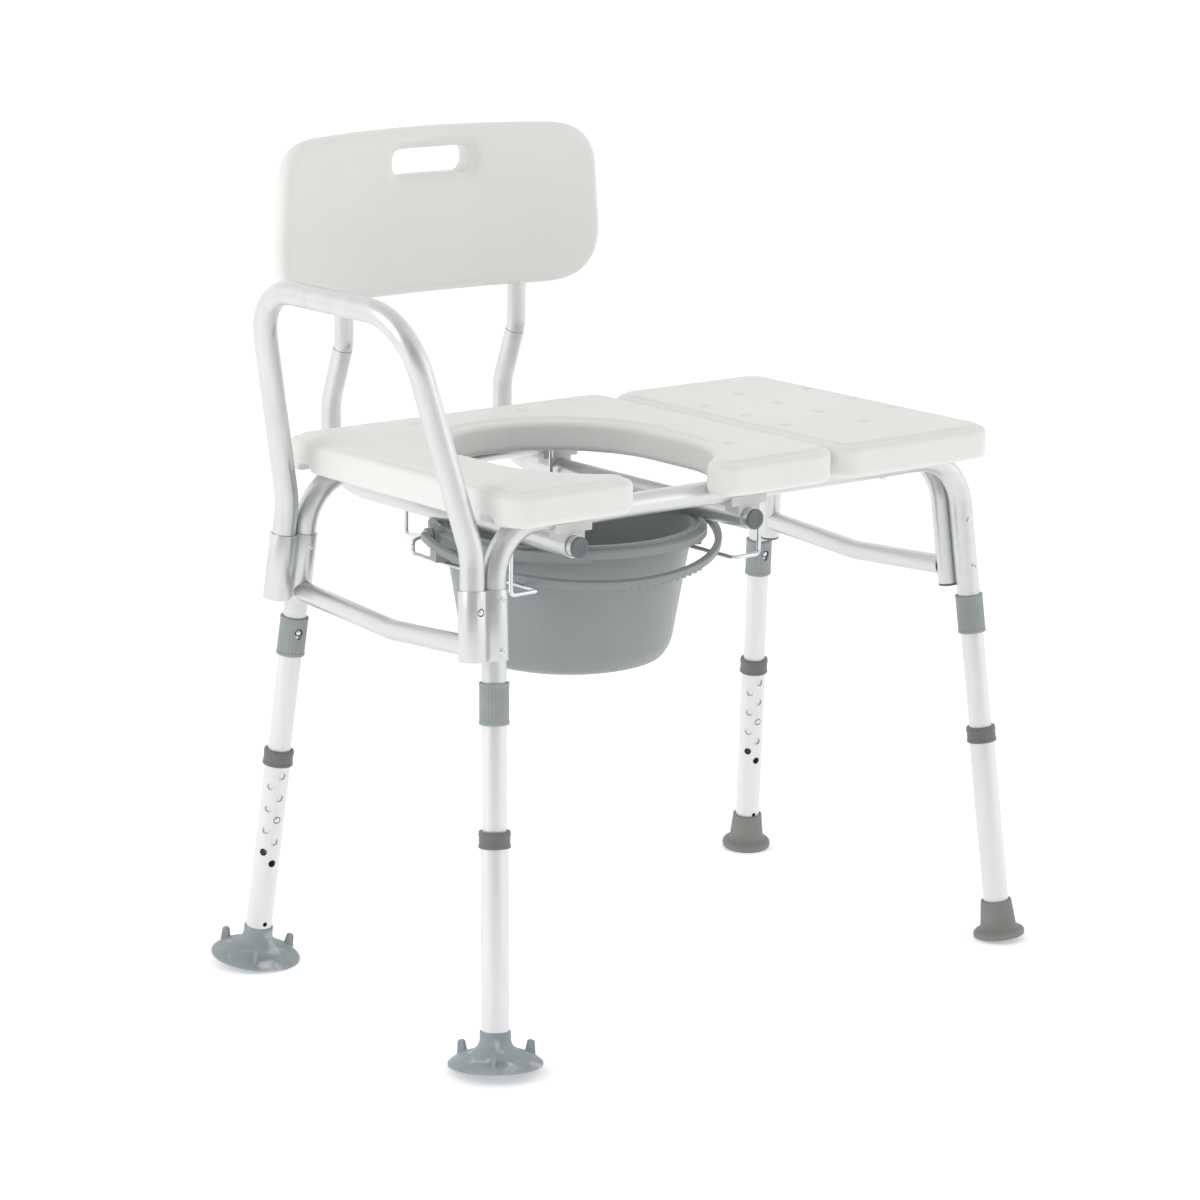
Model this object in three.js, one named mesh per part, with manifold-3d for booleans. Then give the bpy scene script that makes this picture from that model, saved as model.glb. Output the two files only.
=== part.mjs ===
// Bath transfer bench with a commode opening.
// Millimetres, +Z up, +X towards the transfer end, -Y to the front.
import * as THREE from 'three'
import { mergeVertices } from 'three/addons/utils/BufferGeometryUtils.js'
import Module from 'manifold-3d'

const wasm = await Module()
wasm.setup()

// ---------------------------------------------------------------- driving dimensions

const GAP = 0.3 // running gap between pieces that touch
const TUBE_SIDES = 16
const BORE_SIDES = 8 // of a bore that nothing fits into
const BEND_STEPS = 4 // steps along each bend

const LEG_X = 361.6 // leg axis where it meets the floor, from the middle of the frame
const LEG_Y = 219.3
const LEAN_X = 0.068 // how far the leg axis moves inwards for each millimetre of height
const LEAN_Y = 0.1057
const LEG_SLOPE = Math.hypot(LEAN_X, LEAN_Y, 1)
const LEG_TILT = Math.atan(Math.hypot(LEAN_X, LEAN_Y))

const FRAME_TUBE = { radius: 12.7, wall: 1.4 }
const LEG_TUBE = { radius: 12.7, wall: 1.6 }
const EXTENSION_TUBE = { radius: 14.3, wall: 1.3 }
const BRACE_TUBE = { radius: 11.1, wall: 1.4 }
const SLEEVE_TUBE = { radius: 12.7, wall: 1.25 }
const BACK_TUBE = { radius: 11.1, wall: 1.4 }
const UPPER_TUBE = { radius: 10.5, wall: 1.4 }

// heights along the leg axis, from the floor
const STUB_END = 372
const SPIGOT_TOP = 402
const COLLAR_BOTTOM = 357.4
const COLLAR_TOP = 400.4
const COLLAR_BUTTON_AT = 385
const HEIGHT_BUTTON_AT = 170
const LEG_TUBE_BOTTOM = 136.7
const RING_BOTTOM = 231
const RING_TOP = 248.4
const EXTENSION_TOP = 244.5
const DRAIN_HOLE_AT = 47.5

const HOLE_PITCH = 12.7 // half an inch between neighbouring height holes
const HOLE_COUNT = 9
const HOLE_RADIUS = 4.2
const COLUMN_ANGLE = THREE.MathUtils.degToRad(-46) // the holes stand in two staggered columns
const BUTTON_TURN = THREE.MathUtils.degToRad(-8)
const BUTTON_RADIUS = 3.5

const SUCTION_RADIUS = 49.1
const TIP_RADIUS = 28.9

const RAIL_Z = 554.5
const RAIL_BEND = 60
const BRACKET_SPACING = 27
const BRACKET_RADIUS = 14.65
const BRACKET_BOTTOM = 423
const BRACKET_TOP = 495
const ARM_END = 428
const ARM_BUTTON_AT = BRACKET_TOP - 21
const ARM_KINK_Z = 526.4
const ARM_TOP = { x: -410.6, y: 128.5, z: 769 }

const SEAT_TOP = 594.6
const SEAT_BOTTOM = 557
const SEAT_ROUND = 5
const SEAT_CORNER = 29
const SEAT_MIDDLE = -112
const OPENING_RADIUS = 125
const OPENING_STRAIGHT = 60
const CHANNEL_HALF = 58
const LOBE_ROUND = 20

const BACK_TUBE_SPACING = 119
const SLEEVE_Z = 523.7
const BACK_MIDDLE = -110
const PAIL = { x: -111, y: -14, pivotZ: 502, handleRadius: 162 }
const PAIL_TURN = THREE.MathUtils.degToRad(-18) // the pail stands turned, and its handle with it
const HANDLE_DROP = THREE.MathUtils.degToRad(10.2) // the bail lies forwards on a cradle wire
const WIRE_RADIUS = 2.4
const WIRE_Z = 471

// ---------------------------------------------------------------- materials

const finish = (color, roughness, metalness) => ({ color, roughness, metalness })
const ALUMINIUM = finish(0xd9dadc, 0.35, 0.9)
const WHITE_COAT = finish(0xeef0f0, 0.4, 0.3)
const PANEL_PLASTIC = finish(0xe8e8e5, 0.55, 0)
const COLLAR_PLASTIC = finish(0x979d9d, 0.6, 0)
const RING_PLASTIC = finish(0x6f6f6e, 0.6, 0)
const FOOT_RUBBER = finish(0x9aa3a6, 0.85, 0)
const TIP_RUBBER = finish(0x878784, 0.85, 0)
const PAIL_PLASTIC = finish(0x8e9394, 0.5, 0)
const STEEL = finish(0xc4c8ca, 0.25, 1)
const SADDLE_PLASTIC = finish(0xd4d5d4, 0.6, 0)
const PLUG_PLASTIC = finish(0x6a6e70, 0.6, 0)

function mesh(name, geometry, look) {
  const piece = new THREE.Mesh(geometry, new THREE.MeshStandardMaterial(look))
  piece.name = name
  return piece
}

// ---------------------------------------------------------------- solids

function toSolid(geometry) {
  const bare = geometry.clone()
  bare.deleteAttribute('normal')
  bare.deleteAttribute('uv')
  const merged = mergeVertices(bare, 1e-4)
  const vertProperties = new Float32Array(merged.attributes.position.array)
  const triVerts = new Uint32Array(merged.index.array)
  return new wasm.Manifold(new wasm.Mesh({ numProp: 3, vertProperties, triVerts }))
}

function toGeometry(solid) {
  const result = solid.getMesh()
  const geometry = new THREE.BufferGeometry()
  geometry.setAttribute('position', new THREE.BufferAttribute(new Float32Array(result.vertProperties), 3))
  geometry.setIndex(new THREE.BufferAttribute(new Uint32Array(result.triVerts), 1))
  return geometry
}

function cut(geometry, ...tools) {
  return toGeometry(tools.reduce((solid, tool) => solid.subtract(toSolid(tool)), toSolid(geometry)))
}

function join(geometry, ...others) {
  return toGeometry(others.reduce((solid, other) => solid.add(toSolid(other)), toSolid(geometry)))
}

// A bent path: straight runs between the corners, and an arc of the given radius at each inner corner.
class BendPath extends THREE.Curve {
  constructor(corners, radii, steps = BEND_STEPS) {
    super()
    this.stations = [{ point: corners[0], tangent: corners[1].clone().sub(corners[0]).normalize() }]
    for (let i = 1; i < corners.length - 1; i++) this.addBend(corners, i, radii[i - 1], steps)
    const last = corners.length - 1
    const end = corners[last].clone().sub(corners[last - 1]).normalize()
    this.stations.push({ point: corners[last], tangent: end })
  }

  addBend(corners, i, radius, steps) {
    const incoming = corners[i].clone().sub(corners[i - 1]).normalize()
    const outgoing = corners[i + 1].clone().sub(corners[i]).normalize()
    const turn = incoming.angleTo(outgoing)
    const start = corners[i].clone().addScaledVector(incoming, -radius * Math.tan(turn / 2))
    const inward = outgoing.clone().addScaledVector(incoming, -incoming.dot(outgoing)).normalize()
    for (let k = 0; k <= steps; k++) {
      const angle = (turn * k) / steps
      const point = start.clone()
      point.addScaledVector(incoming, radius * Math.sin(angle))
      point.addScaledVector(inward, radius * (1 - Math.cos(angle)))
      const tangent = incoming.clone().multiplyScalar(Math.cos(angle))
      tangent.addScaledVector(inward, Math.sin(angle))
      this.stations.push({ point, tangent })
    }
  }

  get steps() {
    return this.stations.length - 1
  }

  station(u) {
    return this.stations[Math.round(THREE.MathUtils.clamp(u, 0, 1) * this.steps)]
  }

  getPoint(u, target = new THREE.Vector3()) {
    return target.copy(this.station(u).point)
  }

  getPointAt(u, target) {
    return this.getPoint(u, target)
  }

  getTangent(u, target = new THREE.Vector3()) {
    return target.copy(this.station(u).tangent)
  }

  getTangentAt(u, target) {
    return this.getTangent(u, target)
  }
}

function circlePath(radius, sides, Path = THREE.Path) {
  const corners = []
  for (let i = 0; i < sides; i++) {
    const angle = (2 * Math.PI * i) / sides
    corners.push(new THREE.Vector2(radius * Math.cos(angle), radius * Math.sin(angle)))
  }
  return new Path(corners).closePath()
}

// A bent round tube; a bore that nothing fits into has fewer sides.
function bentTube(corners, radii, { radius, wall }, boreSides = TUBE_SIDES) {
  const path = new BendPath(corners, radii)
  const shape = circlePath(radius, TUBE_SIDES, THREE.Shape)
  shape.holes.push(circlePath(radius - wall, boreSides))
  return new THREE.ExtrudeGeometry(shape, { steps: path.steps, extrudePath: path })
}

function bentRod(corners, radii, radius, sides, steps) {
  const path = new BendPath(corners, radii, steps)
  const shape = circlePath(radius, sides, THREE.Shape)
  return new THREE.ExtrudeGeometry(shape, { steps: path.steps, extrudePath: path })
}

// A turned shape about +Z; the profile is a closed list of [radius, height] pairs, anticlockwise.
function turned(profile, segments = TUBE_SIDES) {
  const points = [...profile, profile[0]].map(([radius, height]) => new THREE.Vector2(radius, height))
  return new THREE.LatheGeometry(points, segments).rotateX(Math.PI / 2)
}

// A round bar between two points.
function bar(from, to, radius, sides = 16) {
  const length = from.distanceTo(to)
  const geometry = new THREE.CylinderGeometry(radius, radius, length, sides)
  const turn = new THREE.Quaternion().setFromUnitVectors(
    new THREE.Vector3(0, 1, 0),
    to.clone().sub(from).normalize(),
  )
  const middle = from.clone().add(to).multiplyScalar(0.5)
  return geometry.applyQuaternion(turn).translate(middle.x, middle.y, middle.z)
}

function block(x0, x1, y0, y1, z0, z1) {
  const geometry = new THREE.BoxGeometry(x1 - x0, y1 - y0, z1 - z0)
  return geometry.translate((x0 + x1) / 2, (y0 + y1) / 2, (z0 + z1) / 2)
}

const vec = (x, y, z) => new THREE.Vector3(x, y, z)

// ---------------------------------------------------------------- legs

const LEGS = [
  { name: 'arm_front', sideX: -1, sideY: -1, suction: true },
  { name: 'arm_rear', sideX: -1, sideY: 1, suction: true },
  { name: 'transfer_front', sideX: 1, sideY: -1, suction: false },
  { name: 'transfer_rear', sideX: 1, sideY: 1, suction: false },
]

// The point on a leg's axis at a distance along the axis from the floor.
function onLeg({ sideX, sideY }, distance) {
  const height = distance / LEG_SLOPE
  return vec(sideX * (LEG_X - LEAN_X * height), sideY * (LEG_Y - LEAN_Y * height), height)
}

function legAtHeight(leg, height) {
  return onLeg(leg, height * LEG_SLOPE)
}

function legUp(leg) {
  return vec(-leg.sideX * LEAN_X, -leg.sideY * LEAN_Y, 1).normalize()
}

// A group standing on a leg's foot point: its Z runs up the leg and its X points the given way.
function legGroup(leg, towards) {
  const up = legUp(leg)
  const across = squareToLeg(leg, towards)
  const side = up.clone().cross(across)
  const group = new THREE.Group()
  group.position.copy(onLeg(leg, 0))
  group.quaternion.setFromRotationMatrix(new THREE.Matrix4().makeBasis(across, side, up))
  return group
}

function squareToLeg(leg, direction) {
  const up = legUp(leg)
  return direction.clone().addScaledVector(up, -direction.dot(up)).normalize()
}

// Buttons and holes face the middle of the bench, turned a little about the leg.
function buttonSide(leg) {
  return squareToLeg(leg, vec(0, -leg.sideY, 0)).applyAxisAngle(legUp(leg), BUTTON_TURN)
}

// A tool for a round hole through the +X wall of a tube that stands on Z.
function wallHole(height, radius, reach, angle = 0, sides = 8) {
  const hole = new THREE.CylinderGeometry(radius, radius, reach, sides).rotateZ(Math.PI / 2)
  return hole.translate(reach / 2, 0, height).rotateZ(angle)
}

// A snap button: domed head through the wall on +X, a shoulder inside it and a leaf spring down the bore.
function snapButton(height, headFrom, headTo, leafAt) {
  const dome = 1.2
  const head = turned(
    [
      [0, headFrom],
      [BUTTON_RADIUS, headFrom],
      [BUTTON_RADIUS, headTo - dome],
      [BUTTON_RADIUS * 0.8, headTo - dome * 0.35],
      [0, headTo],
    ],
    12,
  ).rotateY(Math.PI / 2)
  const leaf = block(leafAt - 1, leafAt, -BUTTON_RADIUS, BUTTON_RADIUS, -28, 5)
  return join(head, leaf).translate(0, 0, height)
}

function legTube() {
  const outer = LEG_TUBE.radius
  const inner = outer - LEG_TUBE.wall
  const spigotOuter = 10.8
  const spigotInner = 9.3
  const profile = [
    [inner, LEG_TUBE_BOTTOM],
    [outer, LEG_TUBE_BOTTOM],
    [outer, STUB_END - 0.5],
    [spigotOuter, STUB_END - 0.5],
    [spigotOuter, SPIGOT_TOP],
    [spigotInner, SPIGOT_TOP],
    [spigotInner, STUB_END - 10],
    [inner, STUB_END - 15],
  ]
  const holeRadius = BUTTON_RADIUS + GAP
  const holes = [HEIGHT_BUTTON_AT, COLLAR_BUTTON_AT].map((at) => wallHole(at, holeRadius, 20))
  return cut(turned(profile, TUBE_SIDES), ...holes)
}

// The moulded collar on the frame stub: fluted outside, with a keyhole over the snap button.
function collar() {
  const flutes = 14
  const flute = 0.45
  const outer = 15.6
  const shape = new THREE.Shape()
  for (let i = 0; i < 2 * flutes; i++) {
    const angle = (Math.PI * i) / flutes
    const radius = outer - (i % 2) * flute
    shape[i === 0 ? 'moveTo' : 'lineTo'](radius * Math.cos(angle), radius * Math.sin(angle))
  }
  shape.closePath()
  const inner = FRAME_TUBE.radius + GAP
  shape.holes.push(new THREE.Path().absarc(0, 0, inner, 0, 2 * Math.PI, true))
  const height = COLLAR_TOP - COLLAR_BOTTOM
  const sleeve = new THREE.ExtrudeGeometry(shape, {
    depth: height,
    bevelEnabled: false,
    curveSegments: TUBE_SIDES / 2,
  })
  sleeve.translate(0, 0, COLLAR_BOTTOM)
  const round = wallHole(COLLAR_BUTTON_AT, 4.9, 20, 0, 12)
  const neck = wallHole(COLLAR_BUTTON_AT - 5, 3, 20, 0, 8)
  return cut(sleeve, round, neck)
}

function extensionTube(bottom) {
  const { radius, wall } = EXTENSION_TUBE
  const inner = radius - wall
  const profile = [
    [inner, bottom],
    [radius, bottom],
    [radius, EXTENSION_TOP],
    [inner, EXTENSION_TOP],
  ]
  const holes = [wallHole(DRAIN_HOLE_AT, 2.6, 20, 0, 6)]
  const middle = (HOLE_COUNT - 1) / 2
  for (let i = 0; i < HOLE_COUNT; i++) {
    const at = HEIGHT_BUTTON_AT + (i - middle) * HOLE_PITCH
    holes.push(wallHole(at, HOLE_RADIUS, 20, i % 2 === 0 ? 0 : COLUMN_ANGLE, 7))
  }
  return cut(turned(profile, TUBE_SIDES), ...holes)
}

function gripRing() {
  const overTube = LEG_TUBE.radius + GAP
  const overExtension = EXTENSION_TUBE.radius + GAP
  const step = EXTENSION_TOP + GAP
  return turned(
    [
      [overExtension, RING_BOTTOM],
      [16.7, RING_BOTTOM],
      [16.7, RING_TOP - 4],
      [15.6, RING_TOP],
      [overTube, RING_TOP],
      [overTube, step],
      [overExtension, step],
    ],
    TUBE_SIDES,
  )
}

// The suction foot: a hub over the tube, a domed cup hollow below, and three release tabs.
function suctionFoot(base) {
  const bore = EXTENSION_TUBE.radius + GAP
  const cup = turned(
    [
      [0, base + 5],
      [20, base + 4.5],
      [46, base + 0.6],
      [47.5, base],
      [SUCTION_RADIUS, base],
      [SUCTION_RADIUS, base + 3],
      [43, base + 8],
      [35, base + 11.5],
      [26, base + 14.5],
      [19, base + 18.5],
      [16, base + 25],
      [16, base + 35.4],
      [bore, base + 35.4],
      [bore, base + 9.5],
      [0, base + 9.5],
    ],
    18,
  )
  const tabs = []
  for (let i = 0; i < 3; i++) {
    tabs.push(block(35, 45, -2.1, 2.1, base + 6, base + 22).rotateZ((2 * Math.PI * i) / 3))
  }
  return join(cup, ...tabs)
}

function rubberTip(base) {
  const bore = EXTENSION_TUBE.radius + GAP
  return turned(
    [
      [0, base],
      [TIP_RADIUS, base],
      [TIP_RADIUS, base + 5],
      [26.5, base + 7.3],
      [21.5, base + 8.6],
      [20.4, base + 11],
      [17.3, base + 41.4],
      [bore, base + 41.4],
      [bore, base + 9.5],
      [0, base + 9.5],
    ],
    18,
  )
}

function makeLeg(leg) {
  const footRadius = leg.suction ? SUCTION_RADIUS : TIP_RADIUS
  const base = footRadius * Math.sin(LEG_TILT) * LEG_SLOPE
  const group = legGroup(leg, buttonSide(leg))
  group.add(
    mesh(`leg_tube_${leg.name}`, legTube(), WHITE_COAT),
    mesh(`collar_${leg.name}`, collar(), COLLAR_PLASTIC),
    mesh(`collar_button_${leg.name}`, snapButton(COLLAR_BUTTON_AT, 8, 15, 8.4), STEEL),
    mesh(`height_button_${leg.name}`, snapButton(HEIGHT_BUTTON_AT, 9.5, 15.6, 10), STEEL),
    mesh(`extension_tube_${leg.name}`, extensionTube(base + 10), WHITE_COAT),
    mesh(`grip_ring_${leg.name}`, gripRing(), RING_PLASTIC),
  )
  const foot = leg.suction
    ? mesh(`suction_foot_${leg.name}`, suctionFoot(base), FOOT_RUBBER)
    : mesh(`rubber_tip_${leg.name}`, rubberTip(base), TIP_RUBBER)
  foot.rotation.z = THREE.MathUtils.degToRad(-leg.sideY * 28)
  group.add(foot)
  return group
}

// ---------------------------------------------------------------- frame

// A seat rail: one tube bent down at both ends into the stubs that the legs plug into.
function seatRail(legs) {
  const [left, right] = legs
  const corners = [
    onLeg(left, STUB_END),
    legAtHeight(left, RAIL_Z),
    legAtHeight(right, RAIL_Z),
    onLeg(right, STUB_END),
  ]
  const holes = legs.map((leg) => {
    const at = onLeg(leg, COLLAR_BUTTON_AT)
    return bar(at, at.clone().addScaledVector(buttonSide(leg), 20), BUTTON_RADIUS + 0.7, 8)
  })
  return cut(bentTube(corners, [RAIL_BEND, RAIL_BEND], FRAME_TUBE), ...holes)
}

// The hoop that stiffens the transfer end, an upside-down U between the two legs.
const HOOP = { x: 327.5, y: 151.2, bottom: 407, top: 545, bend: 50 }

function hoopPoint(side, height) {
  const rise = height - HOOP.bottom
  return vec(HOOP.x - LEAN_X * rise, side * (HOOP.y - LEAN_Y * rise), height)
}

function transferHoop() {
  const corners = [
    hoopPoint(-1, HOOP.bottom),
    hoopPoint(-1, HOOP.top),
    hoopPoint(1, HOOP.top),
    hoopPoint(1, HOOP.bottom),
  ]
  return bentTube(corners, [HOOP.bend, HOOP.bend], BRACE_TUBE, BORE_SIDES)
}

// A push-in end plug, a cap with a stem that stands in the tube's bore.
function endPlug(tube, cap) {
  const stem = tube.radius - tube.wall - 1.1
  return turned(
    [
      [0, 0],
      [tube.radius - 0.1, 0],
      [tube.radius - 0.1, cap],
      [stem, cap],
      [stem, cap + 9],
      [0, cap + 9],
    ],
    12,
  )
}

function hoopPlug(name, side) {
  const cap = 2.4
  const plug = mesh(name, endPlug(BRACE_TUBE, cap), PLUG_PLASTIC)
  const up = vec(-LEAN_X, -side * LEAN_Y, 1).normalize()
  plug.quaternion.setFromUnitVectors(vec(0, 0, 1), up)
  plug.position.copy(hoopPoint(side, HOOP.bottom)).addScaledVector(up, -cap - GAP)
  return plug
}

// The double-ring bracket: one bore on the leg stub, one socket for the arm.
function armBracket(leg) {
  const meet = Math.acos(BRACKET_SPACING / 2 / BRACKET_RADIUS)
  const shape = new THREE.Shape()
  shape.absarc(0, 0, BRACKET_RADIUS, meet, 2 * Math.PI - meet)
  shape.absarc(BRACKET_SPACING, 0, BRACKET_RADIUS, Math.PI + meet, 3 * Math.PI - meet)
  shape.closePath()
  for (const x of [0, BRACKET_SPACING]) {
    shape.holes.push(new THREE.Path().absarc(x, 0, FRAME_TUBE.radius + GAP, 0, 2 * Math.PI, true))
  }
  const depth = BRACKET_TOP - BRACKET_BOTTOM
  const body = new THREE.ExtrudeGeometry(shape, { depth, bevelEnabled: false, curveSegments: 9 })
  body.translate(0, 0, BRACKET_BOTTOM)
  const hole = wallHole(ARM_BUTTON_AT, HOLE_RADIUS, 20, (-Math.PI / 2) * leg.sideX * leg.sideY)
  return cut(body, hole)
}

function makeBrackets() {
  return LEGS.filter((leg) => leg.suction).map((leg) => {
    const group = legGroup(leg, vec(1, 0, 0))
    const bracket = mesh(`arm_bracket_${leg.sideY < 0 ? 'front' : 'rear'}`, armBracket(leg), ALUMINIUM)
    bracket.position.x = -BRACKET_SPACING
    group.add(bracket)
    return group
  })
}

// A cross brace with a shallow bend in the middle; its ends are cut to the tubes that it meets.
function crossBrace(x, endY, endZ, drop, tools) {
  const corners = [vec(x, -endY, endZ), vec(x, 0, endZ - drop), vec(x, endY, endZ)]
  return cut(bentTube(corners, [160], BRACE_TUBE, BORE_SIDES), ...tools)
}

function armEndBrace() {
  const height = 427.5
  const legs = LEGS.filter((leg) => leg.suction)
  const tools = legs.map((leg) => bar(onLeg(leg, 400), onLeg(leg, 460), BRACKET_RADIUS + GAP + 0.1, 28))
  return crossBrace(legAtHeight(legs[0], height).x - 0.5, 168, height, 11, tools)
}

function transferEndBrace() {
  const height = 425.8
  const tools = [-1, 1].map((side) =>
    bar(hoopPoint(side, 400), hoopPoint(side, 450), BRACE_TUBE.radius + GAP + 0.1, 28),
  )
  return crossBrace(hoopPoint(1, height).x, 142, height, 9, tools)
}

// ---------------------------------------------------------------- seat

function seatPanel(outline) {
  const shape = new THREE.Shape()
  outline(shape)
  const body = new THREE.ExtrudeGeometry(shape, {
    depth: SEAT_TOP - SEAT_BOTTOM - 2 * SEAT_ROUND,
    bevelThickness: SEAT_ROUND,
    bevelSize: SEAT_ROUND,
    bevelOffset: -SEAT_ROUND,
    bevelSegments: 1,
    curveSegments: 4,
  })
  body.translate(0, 0, SEAT_BOTTOM + SEAT_ROUND)
  const railY = LEG_Y - LEAN_Y * RAIL_Z
  const channels = [-railY, railY].map((y) =>
    bar(vec(-400, y, RAIL_Z), vec(400, y, RAIL_Z), FRAME_TUBE.radius + GAP, 16),
  )
  return cut(body, ...channels)
}

function roundedRectangle(shape, left, right, front, back, radius) {
  const quarter = Math.PI / 2
  shape.moveTo(left + radius, front)
  shape.absarc(right - radius, front + radius, radius, -quarter, 0)
  shape.absarc(right - radius, back - radius, radius, 0, quarter)
  shape.absarc(left + radius, back - radius, radius, quarter, 2 * quarter)
  shape.absarc(left + radius, front + radius, radius, 2 * quarter, 3 * quarter)
  shape.closePath()
}

// The seat panel with the commode opening, which narrows to a channel at the front edge.
function openingOutline(shape) {
  const left = -333
  const right = 108
  const front = -207
  const back = 206
  const corner = SEAT_CORNER
  const quarter = Math.PI / 2
  const across = CHANNEL_HALF + LOBE_ROUND
  const down = Math.sqrt((OPENING_RADIUS + LOBE_ROUND) ** 2 - across ** 2)
  const neck = Math.atan2(down, across)
  const neckY = -OPENING_STRAIGHT - down
  shape.absarc(SEAT_MIDDLE - across, front + LOBE_ROUND, LOBE_ROUND, -quarter, 0)
  shape.absarc(SEAT_MIDDLE - across, neckY, LOBE_ROUND, 0, neck)
  shape.absarc(SEAT_MIDDLE, -OPENING_STRAIGHT, OPENING_RADIUS, Math.PI + neck, Math.PI, true)
  shape.absarc(SEAT_MIDDLE, 0, OPENING_RADIUS, Math.PI, 0, true)
  shape.absarc(SEAT_MIDDLE, -OPENING_STRAIGHT, OPENING_RADIUS, 0, -neck, true)
  shape.absarc(SEAT_MIDDLE + across, neckY, LOBE_ROUND, Math.PI - neck, Math.PI)
  shape.absarc(SEAT_MIDDLE + across, front + LOBE_ROUND, LOBE_ROUND, Math.PI, 3 * quarter)
  shape.absarc(right - corner, front + corner, corner, -quarter, 0)
  shape.absarc(right - corner, back - corner, corner, 0, quarter)
  shape.absarc(left + corner, back - corner, corner, quarter, 2 * quarter)
  shape.absarc(left + corner, front + corner, corner, 2 * quarter, 3 * quarter)
  shape.closePath()
}

function transferOutline(shape) {
  roundedRectangle(shape, 112, 340, -207, 197, SEAT_CORNER)
}

// ---------------------------------------------------------------- backrest

const PANEL = {
  middleX: -112,
  middleY: 241.5,
  bottom: 724,
  shoulder: 904.5,
  crown: 908,
  halfBottom: 219,
  halfTop: 212,
  bow: 878,
  thick: 28,
}
const BACK = {
  frontY: -180,
  rearY: 258,
  kinkZ: 610,
  seamY: 235.7,
  seamZ: 671.5,
  upperY: 233.2,
  upperZ: 678.4,
  top: 880,
}

// The backrest panel: a bowed slab trimmed to its outline, with a hand slot and two blind tube sockets.
function backrestPanel() {
  const shape = new THREE.Shape()
  const { middleX, middleY, bottom, shoulder, crown, halfBottom, halfTop, bow, thick } = PANEL
  shape.moveTo(-halfBottom + 60, bottom)
  shape.lineTo(halfBottom - 60, bottom)
  shape.quadraticCurveTo(halfBottom, bottom + 2, halfBottom, bottom + 62)
  shape.lineTo(halfTop + 2, shoulder - 52)
  shape.quadraticCurveTo(halfTop, shoulder - 2, halfTop - 52, shoulder)
  shape.quadraticCurveTo(0, 2 * crown - shoulder, -halfTop + 52, shoulder)
  shape.quadraticCurveTo(-halfTop, shoulder - 2, -halfTop - 2, shoulder - 52)
  shape.lineTo(-halfBottom, bottom + 62)
  shape.quadraticCurveTo(-halfBottom, bottom + 2, -halfBottom + 60, bottom)
  const slot = new THREE.Path()
  roundedRectangle(slot, -55, 55, 854.5, 886, 12)
  shape.holes.push(slot)
  const outline = new THREE.ExtrudeGeometry(shape, { depth: 100, bevelEnabled: false, curveSegments: 6 })
  outline.rotateX(Math.PI / 2).translate(middleX, 280, 0)
  const slab = new THREE.Shape()
  const half = Math.asin((halfBottom + 10) / bow)
  const quarter = Math.PI / 2
  slab.absarc(0, middleY - bow, bow - thick / 2, quarter + half, quarter - half, true)
  slab.absarc(0, middleY - bow, bow + thick / 2, quarter - half, quarter + half)
  slab.closePath()
  const bowed = new THREE.ExtrudeGeometry(slab, { depth: 200, bevelEnabled: false, curveSegments: 9 })
  bowed.translate(middleX, 0, 718)
  const panel = toGeometry(toSolid(outline).intersect(toSolid(bowed)))
  const sockets = [-1, 1].map((side) => {
    const x = BACK_MIDDLE + side * BACK_TUBE_SPACING
    const from = vec(x, BACK.upperY, 700)
    return bar(from, vec(x, BACK.upperY, BACK.top + 3), UPPER_TUBE.radius + GAP, 16)
  })
  return cut(panel, ...sockets)
}

function lowerBackTube(x) {
  const corners = [
    vec(x, BACK.frontY, SLEEVE_Z),
    vec(x, BACK.rearY, SLEEVE_Z),
    vec(x, BACK.rearY, BACK.kinkZ),
    vec(x, BACK.seamY, BACK.seamZ),
  ]
  return bentTube(corners, [54, 60], BACK_TUBE)
}

// The upper back tube, with a reduced end that stands in the lower tube.
function upperBackTube(x) {
  const lower = vec(x, BACK.seamY, BACK.seamZ)
  const upwards = vec(0, BACK.upperY - BACK.seamY, BACK.upperZ - BACK.seamZ).normalize()
  const start = lower.clone().addScaledVector(upwards, GAP)
  const corners = [start, vec(x, BACK.upperY, BACK.upperZ), vec(x, BACK.upperY, BACK.top)]
  const tube = bentTube(corners, [25], UPPER_TUBE, BORE_SIDES)
  const downwards = vec(0, BACK.rearY - BACK.seamY, BACK.kinkZ - BACK.seamZ).normalize()
  const spigotRadius = BACK_TUBE.radius - BACK_TUBE.wall - 0.4
  const spigotEnd = lower.clone().addScaledVector(downwards, 16)
  return join(tube, bar(start.clone().addScaledVector(upwards, 3), spigotEnd, spigotRadius, 16))
}

// ---------------------------------------------------------------- under the seat

function saddle(x, y) {
  const wing = block(x - 24, x + 24, y - 11, y + 11, 538, 548)
  const boss = block(x - 14.5, x + 14.5, y - 11, y + 11, 529, 540)
  const railTool = bar(vec(x - 40, y, RAIL_Z), vec(x + 40, y, RAIL_Z), FRAME_TUBE.radius + GAP, 16)
  const sleeveTool = bar(vec(x, y - 40, SLEEVE_Z), vec(x, y + 40, SLEEVE_Z), SLEEVE_TUBE.radius + GAP, 16)
  return cut(join(wing, boss), railTool, sleeveTool)
}

function backSleeve(x) {
  const corners = [vec(x, -172, SLEEVE_Z), vec(x, 197, SLEEVE_Z)]
  return bentTube(corners, [], SLEEVE_TUBE)
}

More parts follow.
